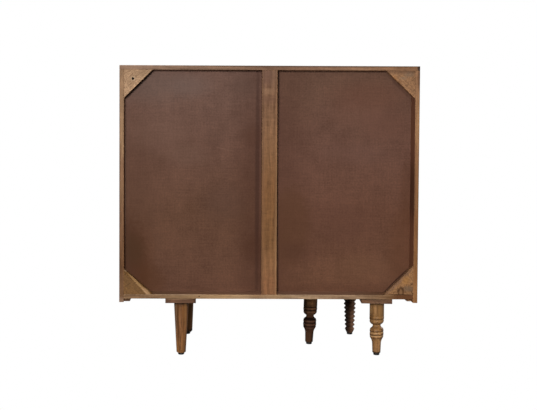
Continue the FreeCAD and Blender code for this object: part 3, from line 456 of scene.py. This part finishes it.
# Corner gussets, each cut with its grain along the long edge
gussets = {
    "gusset_upper_right": {
        "grain": (0, -44.7, 0), "pithMm": (20, 30, 60), "ease": 0.8, "pore": "#6E5034",
        "rings": 0.0, "drift": 0.3, "streaks": 0.7, "streaksMm": 4.0, "speck": 0.8, "speckMm": 3.6,
        "curl": 0.3,
        "tones": [(0.0, "#AD8B6A"), (1.0, "#AA8767")],
        "marks": [
            mark((455, 225, 939.5), (8, 30, 8), "#BFA282", 0.5, ragged=0.2),
            # the drilled hole painted near black right through: painted shade in the hole
            mark((455, 225, 939.5), (4.3, 60, 4.3), "#140A05", 1.0, ragged=0.0, soft=0.05),
            # darker near the tip: painted shade that dims the lit arris
            mark((408, 225, 962), (40, 20, 14), "#8A6B4F", 0.5, soft=0.6),
        ],
    },
    "gusset_upper_left": {
        "grain": (0, 43.6, 0), "pithMm": (60, 40, 30), "ease": 0.8, "pore": "#543A26",
        "rings": 0.0, "drift": 0.5, "streaks": 0.45, "speck": 0.7, "speckMm": 4.5, "streaksMm": 8.0,
        "curl": 0.3,
        "tones": [(0.0, "#8F694A"), (1.0, "#8D684A")],
        "marks": [
            mark((-462, 225, 957), (16, 20, 9), "#7A6857", 0.45, soft=0.6),
            mark((-444, 225, 944), (11, 20, 5), "#8B7660", 0.4, soft=0.6),
            mark((-415, 225, 943), (9, 20, 9), "#A9713D", 0.4, soft=0.6),
            mark((-432, 225, 931), (6, 20, 6), "#6B4322", 0.4, soft=0.6),
            mark((-430, 225, 967), (60, 20, 7), "#5A3E2E", 0.5, soft=0.5),
        ],
    },
    "gusset_lower_right": {
        "grain": (0, 41.2, 0), "pithMm": (40, 30, -30), "ease": 0.5, "pore": "#4D3420",
        "rings": 0.0, "drift": 0.3, "streaks": 0.4, "speck": 0.4,
        "tones": [(0.0, "#70502D"), (1.0, "#6E4E2C")],
        "marks": [
            # pale strips along the long edge: painted highlight on the bevel
            mark((433, 225, 250), (50, 30, 3.4), "#AE875A", 0.8, turn=45, ragged=0.3),
            mark((408, 225, 226), (20, 30, 5.6), "#B28B64", 0.85, turn=45, ragged=0.3),
            mark((478, 225, 302), (6, 20, 8), "#A58A6C", 0.6, soft=0.4),
            mark((472, 225, 250), (14, 20, 1.6), "#4A331E", 0.5, turn=-35),
        ],
    },
    "gusset_lower_left": {
        "grain": (0, -45, 0), "pithMm": (70, 40, 40), "ease": 0.5, "pore": "#4D3420",
        "rings": 0.0, "drift": 0.5, "streaks": 0.5, "speck": 1.1, "speckMm": 4.0,
        "tones": [(0.0, "#8B6543"), (1.0, "#8B6543")],
        "marks": [
            # along the long edge: a dark strip of painted shadow, and a greyer band inside it
            mark((-437, 225, 271.6), (66, 30, 3.4), "#3A2114", 0.8, turn=-44, ragged=0.2),
            mark((-433, 225, 261), (64, 30, 7), "#7A5C49", 0.6, turn=-44, ragged=0.4),
            mark((-460, 225, 268), (12, 20, 14), "#A8763F", 0.5, soft=0.5),
            mark((-467, 225, 240), (16, 20, 9), "#6E5B4A", 0.55, soft=0.5),
            mark((-444, 225, 231), (12, 20, 15), "#4A2E1A", 0.8, ragged=0.3, soft=0.25),
            mark((-444, 225, 226), (5, 20, 13), "#8B6543", 0.85, ragged=0.3, soft=0.25),
            mark((-442, 225, 219.5), (44, 20, 2.2), "#38200F", 0.75, ragged=0.3),
        ],
    },
}
for gussetName, look in gussets.items():
    gusset = pieceFromNode(gussetName, look)
    dress(gusset, planedWood("mangoPlanedOiled_" + gussetName, look, gussetName))
print("gussets:", len(gussets))

# Leg plates under the bottom board
legPlates = {
    "leg_plate_rear_right": {
        "grain": alongX, "pithMm": (0, 20, 60),
        "marks": [
            mark((344, 211, 193), (16, 20, 12), "#4A3428", 0.6),
            mark((262, 211, 193), (36, 20, 16), "#4E3425", 0.5, soft=0.6),
            mark((243, 211, 195), (8, 20, 14), "#38251C", 0.6),
            # a pale strip on the plate's top edge: painted light where the bottom board shades it
            mark((306, 211, 203.5), (54, 20, 5.4), "#B08A66", 0.65),
        ],
    },
    "leg_plate_rear_left": {
        "grain": alongX, "pithMm": (90, 30, 50),
        "turn": {"degrees": -4.7, "aboutMm": (-378, 211), "reachMm": 150},
        "tones": [(0.1, "#684A37"), (0.5, "#73553F"), (0.9, "#664834")],
    },
    "leg_plate_front_right": {"grain": alongX, "pithMm": (40, -30, 70)},
    "leg_plate_front_left": {"grain": alongX, "pithMm": (-60, 40, 60)},
    "leg_plate_middle": {"grain": alongX, "pithMm": (20, 10, 80)},
}
plateStain = {
    "tones": [(0.1, "#6E4F3A"), (0.5, "#7A5A43"), (0.9, "#6C4C37")], "pore": "#38241A", "ease": 1.0,
    "wear": 0.15, "rubbed": "#85634A", "blurMm": 30.0,
}
for plateName, place in legPlates.items():
    look = {**plateStain, **place}
    plate = pieceFromNode(plateName, look)
    dress(plate, planedWood("mangoDarkStained_" + plateName, look, plateName))
print("leg plates:", len(legPlates))

# Turned legs, where a look says nothing else
turnedFinish = {
    "grain": alongZ, "ior": 1.5, "specular": 0.2, "span": (0.2, 0.8), "roughness": (0.55, 0.39), "bump": 0.2,
    "bumpMm": 0.25, "blurMm": 20.0, "marks": [],
}
bandWavesMm = 2  # how far a band's height wanders


def paintBands(tree, sockets, colour, bands, nodeName):
    # bands round a leg: height, half height, strength, colour and, for some, how far they slope across it.
    # Most dark bands are painted shade and most pale bands painted light across the turnings
    low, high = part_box(nodeName)
    split = addNode(tree, "SeparateXYZ", {0: sockets["coords"]}).outputs
    height = addNode(tree, "Math", {0: sockets["drift"], 1: bandWavesMm * mm, 2: split[2]},
                     operation="MULTIPLY_ADD").outputs[0]
    for heightMm, halfMm, strength, code, *slopes in bands:
        slope = slopes[0] if slopes else 0.0
        level = (heightMm + bandWavesMm / 2) * mm + slope * (low.x + high.x) / 2
        tilted = addNode(tree, "Math", {0: split[0], 1: slope, 2: height}, operation="MULTIPLY_ADD")
        gap = addNode(tree, "Math", {0: tilted.outputs[0], 1: level}, operation="SUBTRACT")
        gap = addNode(tree, "Math", {0: gap.outputs[0]}, operation="ABSOLUTE")
        share = addNode(tree, "MapRange", {0: gap.outputs[0], 1: 0.0, 2: halfMm * mm, 3: strength, 4: 0.0},
                        interpolation_type="SMOOTHSTEP")
        colour = addNode(tree, "Mix", {0: share.outputs[0], 6: colour, 7: hexColour(code)},
                         data_type="RGBA").outputs[2]
    return colour


def turnedWood(name, look, nodeName):
    # hardwood turned on a lathe, stained and waxed: long streaks down the leg, bands of painted shade in the
    # grooves and painted light on the rims, a satin sheen
    look = {**turnedFinish, **look}
    material, tree, surface = startMaterial(name, look)
    sockets = drawGrain(tree, look, nodeName)
    colour = sockets["colour"]
    if "bands" in look:
        colour = paintBands(tree, sockets, colour, look["bands"], nodeName)
    colour = paintMarks(tree, sockets["coords"], colour, look["marks"])
    finishSurface(tree, surface, look, colour, sockets["tone"], sockets["fibre"])
    return material


# Four of the five legs: two plain tapers and two balusters
turnedLegs = {
    "leg_rear_right": {
        "slot": "leg_brown", "pithMm": (0, 8, 6), "streaks": 1.0, "streaksMm": 5.0, "curl": 0.1,
        "tones": [(0.1, "#8A5D34"), (0.5, "#805431"), (0.8, "#6F4827")],
        # the band at the top is painted shadow under the leg plate
        "bands": [(181, 18, 0.85, "#28180D")],
        "marks": [
            mark((303.5, 184, 145), (4.5, 30, 45), "#513219", 0.65, soft=0.6),
            # the pale stripe down the middle is a painted highlight
            mark((297.5, 184, 135), (4, 30, 40), "#AC764D", 0.3, soft=0.6),
            mark((290, 184, 158), (4, 30, 20), "#664225", 0.35, soft=0.6),
            mark((278, 182, 145), (4.5, 30, 45), "#A87848", 0.4, soft=0.6),
            mark((311, 178, 110), (3.5, 30, 80), "#A38468", 0.3, soft=0.6),
            mark((279, 184, 35), (7, 30, 45), "#442B19", 0.4, soft=0.6),
        ],
    },
    "leg_rear_left": {
        "slot": "leg_golden", "pithMm": (40, 7, 9), "streaks": 0.8, "streaksMm": 9.0, "curl": 0.15,
        "tones": [(0.1, "#9A7048"), (0.5, "#946B40"), (0.9, "#8C663D")],
        "skew": {"slope": 0.06, "axisMm": -378, "lowMm": 40, "highMm": 150, "fadeMm": 18},
        # the top band is painted shadow under the leg plate, the other dark bands painted shade in the
        # grooves and under the rims, the pale ones painted light on the beads, and the band at 9 mm darkens
        # the foot
        "bands": [(181, 17, 0.6, "#38220F"), (127.2, 2.8, 0.85, "#3A220E"), (110.5, 5, 0.6, "#4A2D14"),
                  (98, 2.6, 0.45, "#55351A", 0.1), (84.5, 2.8, 0.75, "#3D240F", 0.1),
                  (71.4, 2.8, 0.9, "#331D0B", 0.07), (60.3, 3.2, 0.8, "#44280F", 0.05),
                  (9, 6, 0.9, "#0D0A08"), (121, 3, 0.35, "#C39764", 0.06), (103.5, 3, 0.45, "#BF9360"),
                  (78.4, 2.3, 0.75, "#D2A673", 0.08), (67.6, 3, 0.9, "#D8AB78", 0.06)],
        "marks": [
            mark((-356, 178, 157), (3.5, 30, 14), "#B58A58", 0.45, soft=0.6),
            mark((-362, 184, 150), (3.5, 30, 28), "#7A5530", 0.35, soft=0.6),
            # a painted highlight down the drum
            mark((-368.6, 184, 157), (3.2, 30, 16), "#BC8D60", 0.5, soft=0.6),
            mark((-375.4, 184, 155), (3.2, 30, 20), "#7A5530", 0.35, soft=0.6),
            # painted shade on the neck under the cup
            mark((-356, 180, 100), (6, 30, 6), "#54361A", 0.6, soft=0.5),
            mark((-365, 184, 40), (4, 30, 24), "#70491F", 0.5, soft=0.6),
            mark((-374, 184, 42), (3.5, 30, 22), "#B98650", 0.4, soft=0.6),
        ],
    },
    "leg_middle": {
        "slot": "leg_dark", "pithMm": (-30, 9, 5), "streaks": 0.6, "streaksMm": 9.0, "curl": 0.1,
        "specular": 0.06, "roughness": (0.7, 0.54), "lean": {"slope": -0.0317, "fromMm": 66},
        "tones": [(0.1, "#442C1D"), (0.4, "#42291C"), (0.6, "#442C1C"), (0.77, "#4E3623"),
                  (0.86, "#745136"), (0.95, "#8A6342")],
        # dark bands are painted shade on the faces turned up and in the grooves, pale ones painted light on
        # the faces turned down towards the floor
        "bands": [(136, 3.6, 0.95, "#100602"), (125.2, 3.6, 0.97, "#100602"), (92.8, 8.8, 0.95, "#0C0502"),
                  (78, 3, 0.9, "#140904"), (66, 3, 0.85, "#140904"), (130.4, 2.4, 0.35, "#6A4B39"),
                  (118, 3, 0.5, "#6E4E3A"), (108.5, 6, 0.4, "#654630"), (85, 3, 0.45, "#6A4B39"),
                  (72, 3, 0.5, "#74523E"), (60, 2.6, 0.5, "#6A4A3A")],
        "marks": [
            # the two near-black marks are painted shade down the left side, away from the light
            mark((-145, 25, 75), (8, 40, 40), "#0C0502", 0.5, soft=0.5),
            mark((-150, 30, 132), (7, 40, 32), "#0C0502", 0.5, soft=0.5),
            mark((-168, 37, 158), (10, 30, 11), "#9A6E48", 0.35, soft=0.6),
        ],
    },
    "leg_front_right": {
        "slot": "leg_black", "pithMm": (20, 6, 7), "streaks": 0.6, "streaksMm": 7.0, "curl": 0.1,
        "specular": 0.08,
        "tones": [(0.04, "#1E1511"), (0.09, "#5E3F25"), (0.8, "#654428")],
    },
}
for legName, look in turnedLegs.items():
    leg = pieceFromNode(legName, look)
    dress(leg, turnedWood("hardwoodTurnedWaxed_" + legName, look, legName))
print("turned legs:", len(turnedLegs))

# Ringed leg, whose rings are cut into studs with a gouge. Its sizes are in mm
carvedLeg = {
    "ringCount": 11, "lowZ": 21.0, "topDia": 51.6, "lowDia": 36.0, "hollow": 6.6, "tip": 1.25,
    "footDia": 22.5, "ankleDia": 30.0, "ankleZ": 14.5, "neckZ": (18.0, 19.8), "foot": 7.0, "top": 186.0,
    "studs": 10, "studCut": 0.7, "ridge": 0.6, "around": 160, "perRing": 14, "smoothDegrees": 40,
    "slot": "leg_carved", "pithMm": (60, 5, 8), "streaks": 0.6, "streaksMm": 8.0, "specular": 0.05,
    "roughness": (0.7, 0.54),
    # the tones darken towards the top: painted shade under the cabinet
    "tones": [(0.1, "#5F4230"), (0.4, "#4F3729"), (0.9, "#3D2A20")],
    "marks": [
        # painted light and shade: dark down the left side and in a patch on the right, pale low and higher up
        # on the right
        mark((-318, -135, 100), (17, 60, 130), "#0E0906", 0.75, soft=0.5),
        mark((-356, -130, 50), (16, 60, 70), "#8E6C55", 0.45, soft=0.5),
        mark((-363, -135, 78), (9, 60, 34), "#170E09", 0.55, soft=0.5),
        mark((-352, -112, 122), (14, 60, 13), "#8A6A54", 0.55, soft=0.5),
        mark((-322, -135, 35), (14, 60, 50), "#0E0906", 0.55, soft=0.5),
    ],
}


def carveRingedLeg(shape, nodeName):
    low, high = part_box(nodeName)
    axis = (low + high) / 2
    pitches = shape["ringCount"] - 0.5  # the top of the leg is the middle of a hollow
    pitch = (shape["top"] - shape["lowZ"]) / pitches
    growth = (shape["topDia"] - shape["lowDia"]) / 2 / (shape["ringCount"] - 1)
    steps = int(pitches * shape["perRing"])
    heights = [shape["foot"], shape["ankleZ"], *shape["neckZ"]]
    heights += [shape["lowZ"] + (shape["top"] - shape["lowZ"]) * i / steps for i in range(steps + 1)]
    build = bmesh.new()
    rows = []
    for z in heights:
        row = []
        count = (z - shape["lowZ"]) / pitch
        stagger = math.pi * (round(count) % 2)  # studs of one ring sit between those of the next
        for i in range(shape["around"]):
            angle = 2 * math.pi * i / shape["around"]
            between = 0.5 - 0.5 * math.cos(shape["studs"] * angle + stagger)  # 0 on a stud, 1 between two
            if count >= 0:
                gap = abs(count - round(count)) * 2  # 0 on a ring's tip, 1 in the middle of a hollow
                hollow = gap ** shape["tip"]
                radius = shape["lowDia"] / 2 + growth * count - shape["hollow"] * hollow
                radius -= shape["studCut"] * (1 - hollow) * between
                radius += shape["ridge"] * hollow * between
            else:
                share = min(1, (z - shape["foot"]) / (shape["ankleZ"] - shape["foot"]))
                radius = (shape["footDia"] + (shape["ankleDia"] - shape["footDia"]) * share) / 2
                rise = max(0, (z - shape["ankleZ"]) / (shape["lowZ"] - shape["ankleZ"]))
                radius += (shape["lowDia"] - shape["ankleDia"]) / 2 * rise
                radius -= shape["studCut"] * rise * between
            row.append(build.verts.new((axis.x + radius * mm * math.cos(angle),
                                        axis.y + radius * mm * math.sin(angle), z * mm)))
        rows.append(row)
    for lower, upper in zip(rows, rows[1:]):
        for i in range(shape["around"]):
            j = (i + 1) % shape["around"]
            build.faces.new((lower[i], lower[j], upper[j], upper[i]))
    build.faces.new(list(reversed(rows[0])))
    build.faces.new(rows[-1])
    return addPiece(nodeName + "_carved", build, nodeName, shape["smoothDegrees"])


ringed = carveRingedLeg(carvedLeg, "leg_front_left")
dress(ringed, turnedWood("hardwoodTurnedCarved_front_left", carvedLeg, "leg_front_left"))
print("carved leg:", len(ringed.data.vertices), "points")

# Hardboard. The press screen's wires are 1.3 mm apart, drawn 4 mm apart so that they show
pressPatterns = {
    "weft": {"stretch": (0.05, 1, 1), "sizeMm": 4.0, "detail": 2.0, "share": 0.16},
    "warp": {"stretch": (1, 1, 0.05), "sizeMm": 4.0, "detail": 2.0, "share": 0.12},
    "flecks": {"stretch": (1, 1, 1), "sizeMm": 6.0, "detail": 2.0, "share": 0.28},
    "mottle": {"stretch": (1, 1, 1), "sizeMm": 32.0, "detail": 2.0, "share": 0.14},
    "clouds": {"stretch": (1, 1, 1), "sizeMm": 160.0, "detail": 2.0, "share": 0.28},
}
pressedFinish = {
    "ior": 1.5, "specular": 0.1, "span": (0.2, 0.8), "roughness": (0.75, 0.62), "bump": 0.2, "bumpMm": 0.3,
    "blurMm": 150.0,
}
markDepthMm = 1.5  # marks on a panel stay on its rear face


def pressedBoard(name, look, nodeName):
    # hardboard, wet pressed and oil tempered: even brown face, faint linen of the press screen drawn out
    # along both ways, stained by storage, with painted shadows, painted light and shade and a grey painted
    # sheen from the marks given to it, hardly any sheen of its own
    look = {**pressedFinish, **look}
    material, tree, surface = startMaterial(name, look)
    coords = addNode(tree, "TexCoord").outputs["Object"]
    sockets = layPatterns(tree, coords, pressPatterns)
    colour = stainAlong(tree, coords, look, nodeName, sockets["clouds"], sockets["tone"])
    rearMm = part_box(nodeName)[1].y / mm
    marks = []
    for spot in look["marks"]:
        (x, z), (wide, tall) = spot["at"], spot["size"]
        marks.append({**spot, "at": (x, rearMm, z), "size": (wide, markDepthMm, tall)})
    colour = paintMarks(tree, coords, colour, marks)
    relief = addNode(tree, "Math", {0: sockets["weft"], 1: sockets["warp"]}, operation="ADD").outputs[0]
    finishSurface(tree, surface, look, colour, sockets["tone"], relief)
    return material


# Back panels, with stains, darker and paler patches, painted shadows beside the gussets, painted light and
# shade at the edges of the recess, and a grey painted sheen near the top. Their marks are placed by x and z
backPanels = {
    "back_panel_right": {
        "tones": [(0.05, "#624232"), (0.35, "#614231"), (0.65, "#644639"), (0.97, "#694E43")],
        "marks": [
            mark((492, 270), (84, 205), "#472712", 0.85, soft=0.25),
            mark((425, 330), (40, 120), "#562F12", 0.3, soft=0.5),
            mark((400, 252), (48, 52), "#543016", 0.4, soft=0.5),
            mark((490, 470), (120, 300), "#553829", 0.5, soft=0.75),
            mark((15, 560), (90, 430), "#4A2B1E", 0.5, soft=0.6),
            mark((36, 600), (7, 420), "#38211A", 0.5, soft=0.5),
            mark((23, 720), (5, 300), "#664538", 0.4, soft=0.5),
            mark((50, 752), (36, 34), "#4A2C1E", 0.4, soft=0.7),
            mark((45, 366), (40, 44), "#432414", 0.35, soft=0.7),
            mark((184, 740), (36, 34), "#50372C", 0.25, soft=0.7),
            mark((148, 705), (30, 2.5), "#7A5A4A", 0.25, turn=13),
            # a pale strip at the edge beside the side board: painted light over the lamp's shadow
            mark((485, 640), (2, 240), "#9A7A6A", 0.4, ragged=0.2),
            # a dark line beside the gusset's long edge: painted shadow
            mark((438, 922.5), (66, 3.6), "#2A1206", 0.8, turn=-44),
            # grey painted sheen in the top corner
            mark((400, 925), (130, 55), "#5E5049", 0.35, soft=0.7),
            mark((365, 755), (105, 55), "#7A5C4E", 0.28, soft=0.7),
            mark((152, 518), (66, 56), "#50372C", 0.38, soft=0.7),
            # grey painted sheen near the top
            mark((262, 918), (62, 34), "#78645C", 0.26, soft=0.7),
            mark((276, 684), (66, 34), "#76594B", 0.3, soft=0.7),
            mark((456, 360), (34, 50), "#422C18", 0.4, soft=0.6),
            mark((80, 920), (44, 36), "#503A30", 0.35, soft=0.7),
        ],
    },
    "back_panel_left": {
        "tones": [(0.05, "#6B4835"), (0.35, "#684535"), (0.65, "#68483B"), (0.97, "#624638")],
        "marks": [
            mark((-290, 690), (95, 32), "#6E4E42", 0.35, soft=0.6),
            mark((-396, 795), (70, 55), "#6C483B", 0.4, soft=0.6),
            mark((-338, 890), (110, 45), "#704636", 0.3, soft=0.7),
            mark((-30, 560), (100, 430), "#4B2D20", 0.5, soft=0.7),
            mark((-75, 440), (70, 130), "#583823", 0.5, soft=0.3),
            mark((-112, 354), (70, 34), "#4C2E22", 0.36, soft=0.7),
            mark((-248, 448), (100, 76), "#58382C", 0.4, soft=0.7),
            mark((-285, 828), (76, 38), "#805848", 0.24, soft=0.7),
            mark((-325, 300), (90, 40), "#7A563E", 0.2, soft=0.7),
            mark((-482, 560), (30, 100), "#50301D", 0.4, soft=0.6),
            mark((-485, 350), (70, 160), "#603C28", 0.5, soft=0.4),
            mark((-250, 222), (240, 22), "#472A1F", 0.25, soft=0.6),
            # a dark line beside the upper gusset's long edge: painted shadow
            mark((-446, 918), (64, 6), "#391F16", 0.3, turn=45, soft=0.5),
            # a pale band beside the stile: painted light that eases its shadow
            mark((-33, 540), (6, 340), "#8C6250", 0.6, ragged=0.2),
            # a dark line beside the lower gusset's long edge: painted shadow
            mark((-439.5, 254.5), (66, 5), "#2C1810", 0.7, turn=-45),
        ],
    },
}
for panelName, look in backPanels.items():
    dress(nodes[panelName], pressedBoard("hardboardTempered_" + panelName, look, panelName))
print("back panels:", len(backPanels))

# Doors, framed and panelled in the same wood
doorBoards = {
    "hinge_stile": {"grain": (0, 90, 2), "pithMm": (30, 60, 40)},
    "lock_stile": {"grain": (0, 90, -2), "pithMm": (-80, 70, -30)},
    "bottom_rail": {"grain": (0, 0, 2), "pithMm": (60, -50, 30)},
    "top_rail": {"grain": (0, 0, -3), "pithMm": (10, 60, -20)},
    "door_panel": {"grain": (0, 90, 5), "pithMm": (30, 55, 20)},
}
doorStain = {
    "tones": [(0.1, "#866248"), (0.5, "#8F6B50"), (0.9, "#83603F")], "pore": "#4A3324", "ease": 1.0,
    "wear": 0.25, "rubbed": "#A28163", "rings": 0.26, "ringMm": 19.0, "streaks": 0.35, "streaksMm": 6.0,
    "drift": 0.6,
}
pithShiftMm = {"left": (140, 15, 0), "right": (0, 0, 0)}  # the two doors are cut from different boards
for side, shift in pithShiftMm.items():
    for boardName, place in doorBoards.items():
        nodeName = side + "_" + boardName if boardName == "door_panel" else side + "_door_" + boardName
        look = {**doorStain, **place, "pithMm": Vector(place["pithMm"]) + Vector(shift)}
        board = pieceFromNode(nodeName, look)
        dress(board, planedWood("mangoPlanedOiled_" + nodeName, look, nodeName))
print("doors dressed")


def metalFinish(name, look):
    # a metal keeps the default IOR; hazy patches and fine rubbing lines break the reflection
    material, tree, surface = startMaterial(name, look)
    coords = addNode(tree, "TexCoord").outputs["Object"]
    haze = addNode(tree, "TexNoise", {"Vector": coords, "Scale": 1000 / look["hazeMm"], "Detail": 3.0})
    drawn = addNode(tree, "VectorMath", {0: coords, 1: look["drawn"]}, operation="MULTIPLY").outputs[0]
    rubbing = addNode(tree, "TexNoise", {"Vector": drawn, "Scale": 1000 / look["lineMm"], "Detail": 2.0})
    colour = addNode(tree, "ValToRGB", {"Fac": haze.outputs["Fac"]}, stops=look["tones"]).outputs["Color"]
    finishSurface(tree, surface, look, colour, rubbing.outputs["Fac"], rubbing.outputs["Fac"])
    return material


def mouldedPlastic(name, look):
    # polythene and ABS, injection moulded: fine spark-eroded grain, scuffed paler, low gloss
    material, tree, surface = startMaterial(name, look)
    coords = addNode(tree, "TexCoord").outputs["Object"]
    grain = addNode(tree, "TexNoise", {"Vector": coords, "Scale": 1000 / look["grainMm"], "Detail": 1.0})
    scuff = addNode(tree, "TexNoise", {"Vector": coords, "Scale": 1000 / look["scuffMm"], "Detail": 4.0})
    colour = addNode(tree, "ValToRGB", {"Fac": scuff.outputs["Fac"]}, stops=look["tones"]).outputs["Color"]
    finishSurface(tree, surface, look, colour, scuff.outputs["Fac"], grain.outputs["Fac"])
    return material


# Brass fittings, warm with a soft gleam, and zinc plated fixings, cool and cloudy. Their rubbing lines are
# about 0.1 mm wide and the plastics' grain is 0.1 mm, all drawn coarser so that they show
metalLook = {"metallic": 1.0, "span": (0.3, 0.7), "bump": 0.15, "bumpMm": 0.05}
brassLook = {**metalLook, "tones": [(0.3, "#8A6A35"), (0.5, "#A98446"), (0.7, "#C09A58")],
             "hazeMm": 12, "lineMm": 0.6, "drawn": (1, 1, 0.06), "roughness": (0.24, 0.42)}
zincLook = {**metalLook, "tones": [(0.3, "#8E9296"), (0.5, "#A6AAAE"), (0.7, "#B9BDC0")],
            "hazeMm": 4, "lineMm": 0.5, "drawn": (1, 1, 0.3), "roughness": (0.3, 0.48)}
plasticLook = {"ior": 1.51, "specular": 0.4, "span": (0.3, 0.7), "bump": 0.2, "bumpMm": 0.1, "grainMm": 0.8,
               "scuffMm": 5}
glideLook = {**plasticLook, "tones": [(0.45, "#121110"), (0.8, "#2A2826")], "roughness": (0.45, 0.6)}
catchLook = {**plasticLook, "tones": [(0.45, "#3B2A20"), (0.8, "#5A4434")], "roughness": (0.5, 0.65)}
brass = metalFinish("brassBrushedLacquered", brassLook)
zinc = metalFinish("steelZincPlated", zincLook)
glidePlastic = mouldedPlastic("polytheneMouldedBlack", glideLook)
catchPlastic = mouldedPlastic("absMouldedBrown", catchLook)

fittings = {
    "hinge_carcass_leaves": ("hinge_brass", brass), "hinge_carcass_screws": ("hinge_brass", brass),
    "hinge_pins": ("hinge_brass", brass), "leg_plate_screws": ("zinc_steel", zinc),
    "leg_bolts": ("zinc_steel", zinc), "shelf_pins": ("zinc_steel", zinc),
    "left_catch": ("catch_plastic", catchPlastic), "right_catch": ("catch_plastic", catchPlastic),
}
for side in ("left", "right"):
    fittings[side + "_door_knob"] = ("hinge_brass", brass)
    fittings[side + "_door_strike"] = ("zinc_steel", zinc)
    fittings[side + "_hinge_door_leaves"] = ("hinge_brass", brass)
    fittings[side + "_hinge_door_screws"] = ("hinge_brass", brass)
for leg in ("rear_right", "rear_left", "front_right", "front_left", "middle"):
    fittings["glide_" + leg] = ("glide_plastic", glidePlastic)
follows = {  # a leaning leg's glide leans with it, and a turned plate's screws turn with it
    "glide_middle": {"lean": turnedLegs["leg_middle"]["lean"]},
    "leg_plate_screws": {"turn": legPlates["leg_plate_rear_left"]["turn"]},
}
for nodeName, (slotName, finish) in fittings.items():
    dress(pieceFromNode(nodeName, follows.get(nodeName, {})), finish)
print("fittings:", len(fittings))

# Studio, in m: white floor and surround, a small lamp left of and above the camera, soft boxes round the rest
studio = {
    "floorSize": 14.0, "white": "#FFFFFF", "glow": 1.0,
    "lamps": {
        "key": {"at": (0.54, 3.07, 1.06), "aim": (0.0, 0.2, 0.55), "size": (0.36, 0.36), "watts": 76.0},
        "fill": {"at": (0.1, 3.6, 1.3), "aim": (0.0, 0.2, 0.5), "size": (3.0, 2.0), "watts": 15.0},
        "over": {"at": (0.0, -0.8, 2.6), "aim": (0.0, -0.2, 0.5), "size": (2.4, 1.6), "watts": 45.0},
        "front": {"at": (-1.6, -2.6, 1.75), "aim": (0.0, -0.2, 0.4), "size": (2.0, 1.8), "watts": 80.0},
        "sideRight": {"at": (2.6, -1.8, 1.65), "aim": (0.2, 0.0, 0.5), "size": (1.2, 1.6), "watts": 50.0},
        "sideLeft": {"at": (-2.6, -1.8, 1.65), "aim": (-0.2, 0.0, 0.5), "size": (1.2, 1.6), "watts": 36.0},
        "lowLeft": {"at": (-2.2, 0.1, 0.12), "aim": (0.0, 0.0, 0.1), "size": (0.8, 0.2), "watts": 4.2},
        "bounce": {"at": (0.0, 0.05, 0.004), "aim": (0.0, 0.05, 1.0), "size": (1.8, 1.5), "watts": 1.9},
    },
}
scene = bpy.context.scene
scene.view_settings.view_transform = "Standard"
world = bpy.data.worlds.new("whiteSurround")
scene.world = world
world.use_nodes = True
world.node_tree.nodes.clear()
whiteGlow = {"Color": hexColour(studio["white"]), "Strength": studio["glow"]}
backdrop = addNode(world.node_tree, "Background", whiteGlow)
addNode(world.node_tree, "OutputWorld", {"Surface": backdrop.outputs[0]})
world.cycles_visibility.diffuse = False
world.cycles_visibility.glossy = False

floorMesh = bpy.data.meshes.new("studio_floor")
reach = studio["floorSize"] / 2
floorMesh.from_pydata([(-reach, -reach, 0), (reach, -reach, 0), (reach, reach, 0), (-reach, reach, 0)], [],
                      [(0, 1, 2, 3)])
floor = bpy.data.objects.new("studio_floor", floorMesh)
scene.collection.objects.link(floor)
paper = bpy.data.materials.new("paperSeamlessWhite")
paper.use_nodes = True
paperTree = paper.node_tree
paperTree.nodes.clear()
glow = addNode(paperTree, "Emission", whiteGlow)
addNode(paperTree, "OutputMaterial", {"Surface": glow.outputs[0]})
floorMesh.materials.append(paper)
floor.visible_diffuse = False
floor.visible_glossy = False

for lampName, lamp in studio["lamps"].items():
    light = bpy.data.lights.new(lampName, "AREA")
    light.shape = "RECTANGLE"
    light.size, light.size_y = lamp["size"]
    light.energy = lamp["watts"]
    holder = bpy.data.objects.new(lampName, light)
    holder.location = lamp["at"]
    holder.rotation_euler = (Vector(lamp["aim"]) - Vector(lamp["at"])).to_track_quat("-Z", "Y").to_euler()
    holder.visible_camera = False
    scene.collection.objects.link(holder)
print("studio lit:", len(studio["lamps"]), "lamps")

# Camera at the photograph's view, behind the cabinet: place in m, angles in degrees, lens in mm
view = {"at": (0.2384, 3.0755, 0.7765), "yaw": 0.23, "pitch": 1.823, "roll": 0.235,
        "lens": 57.36, "sensor": 36, "shift": (0.1252, -0.0929)}
yaw, pitch, roll = (math.radians(view[key]) for key in ("yaw", "pitch", "roll"))
ahead = Vector((-math.sin(yaw), -math.cos(yaw), 0))
right = Vector((-math.cos(yaw), math.sin(yaw), 0))
up = Vector((0, 0, 1))
ahead, up = ahead * math.cos(pitch) - up * math.sin(pitch), up * math.cos(pitch) + ahead * math.sin(pitch)
right, up = right * math.cos(roll) + up * math.sin(roll), up * math.cos(roll) - right * math.sin(roll)
lens = bpy.data.cameras.new("photoCamera")
lens.lens = view["lens"]
lens.sensor_width = view["sensor"]
lens.shift_x, lens.shift_y = view["shift"]
camera = bpy.data.objects.new("photoCamera", lens)
camera.matrix_world = Matrix((right, up, -ahead)).transposed().to_4x4()
camera.location = view["at"]
scene.collection.objects.link(camera)
scene.camera = camera
print("camera set")
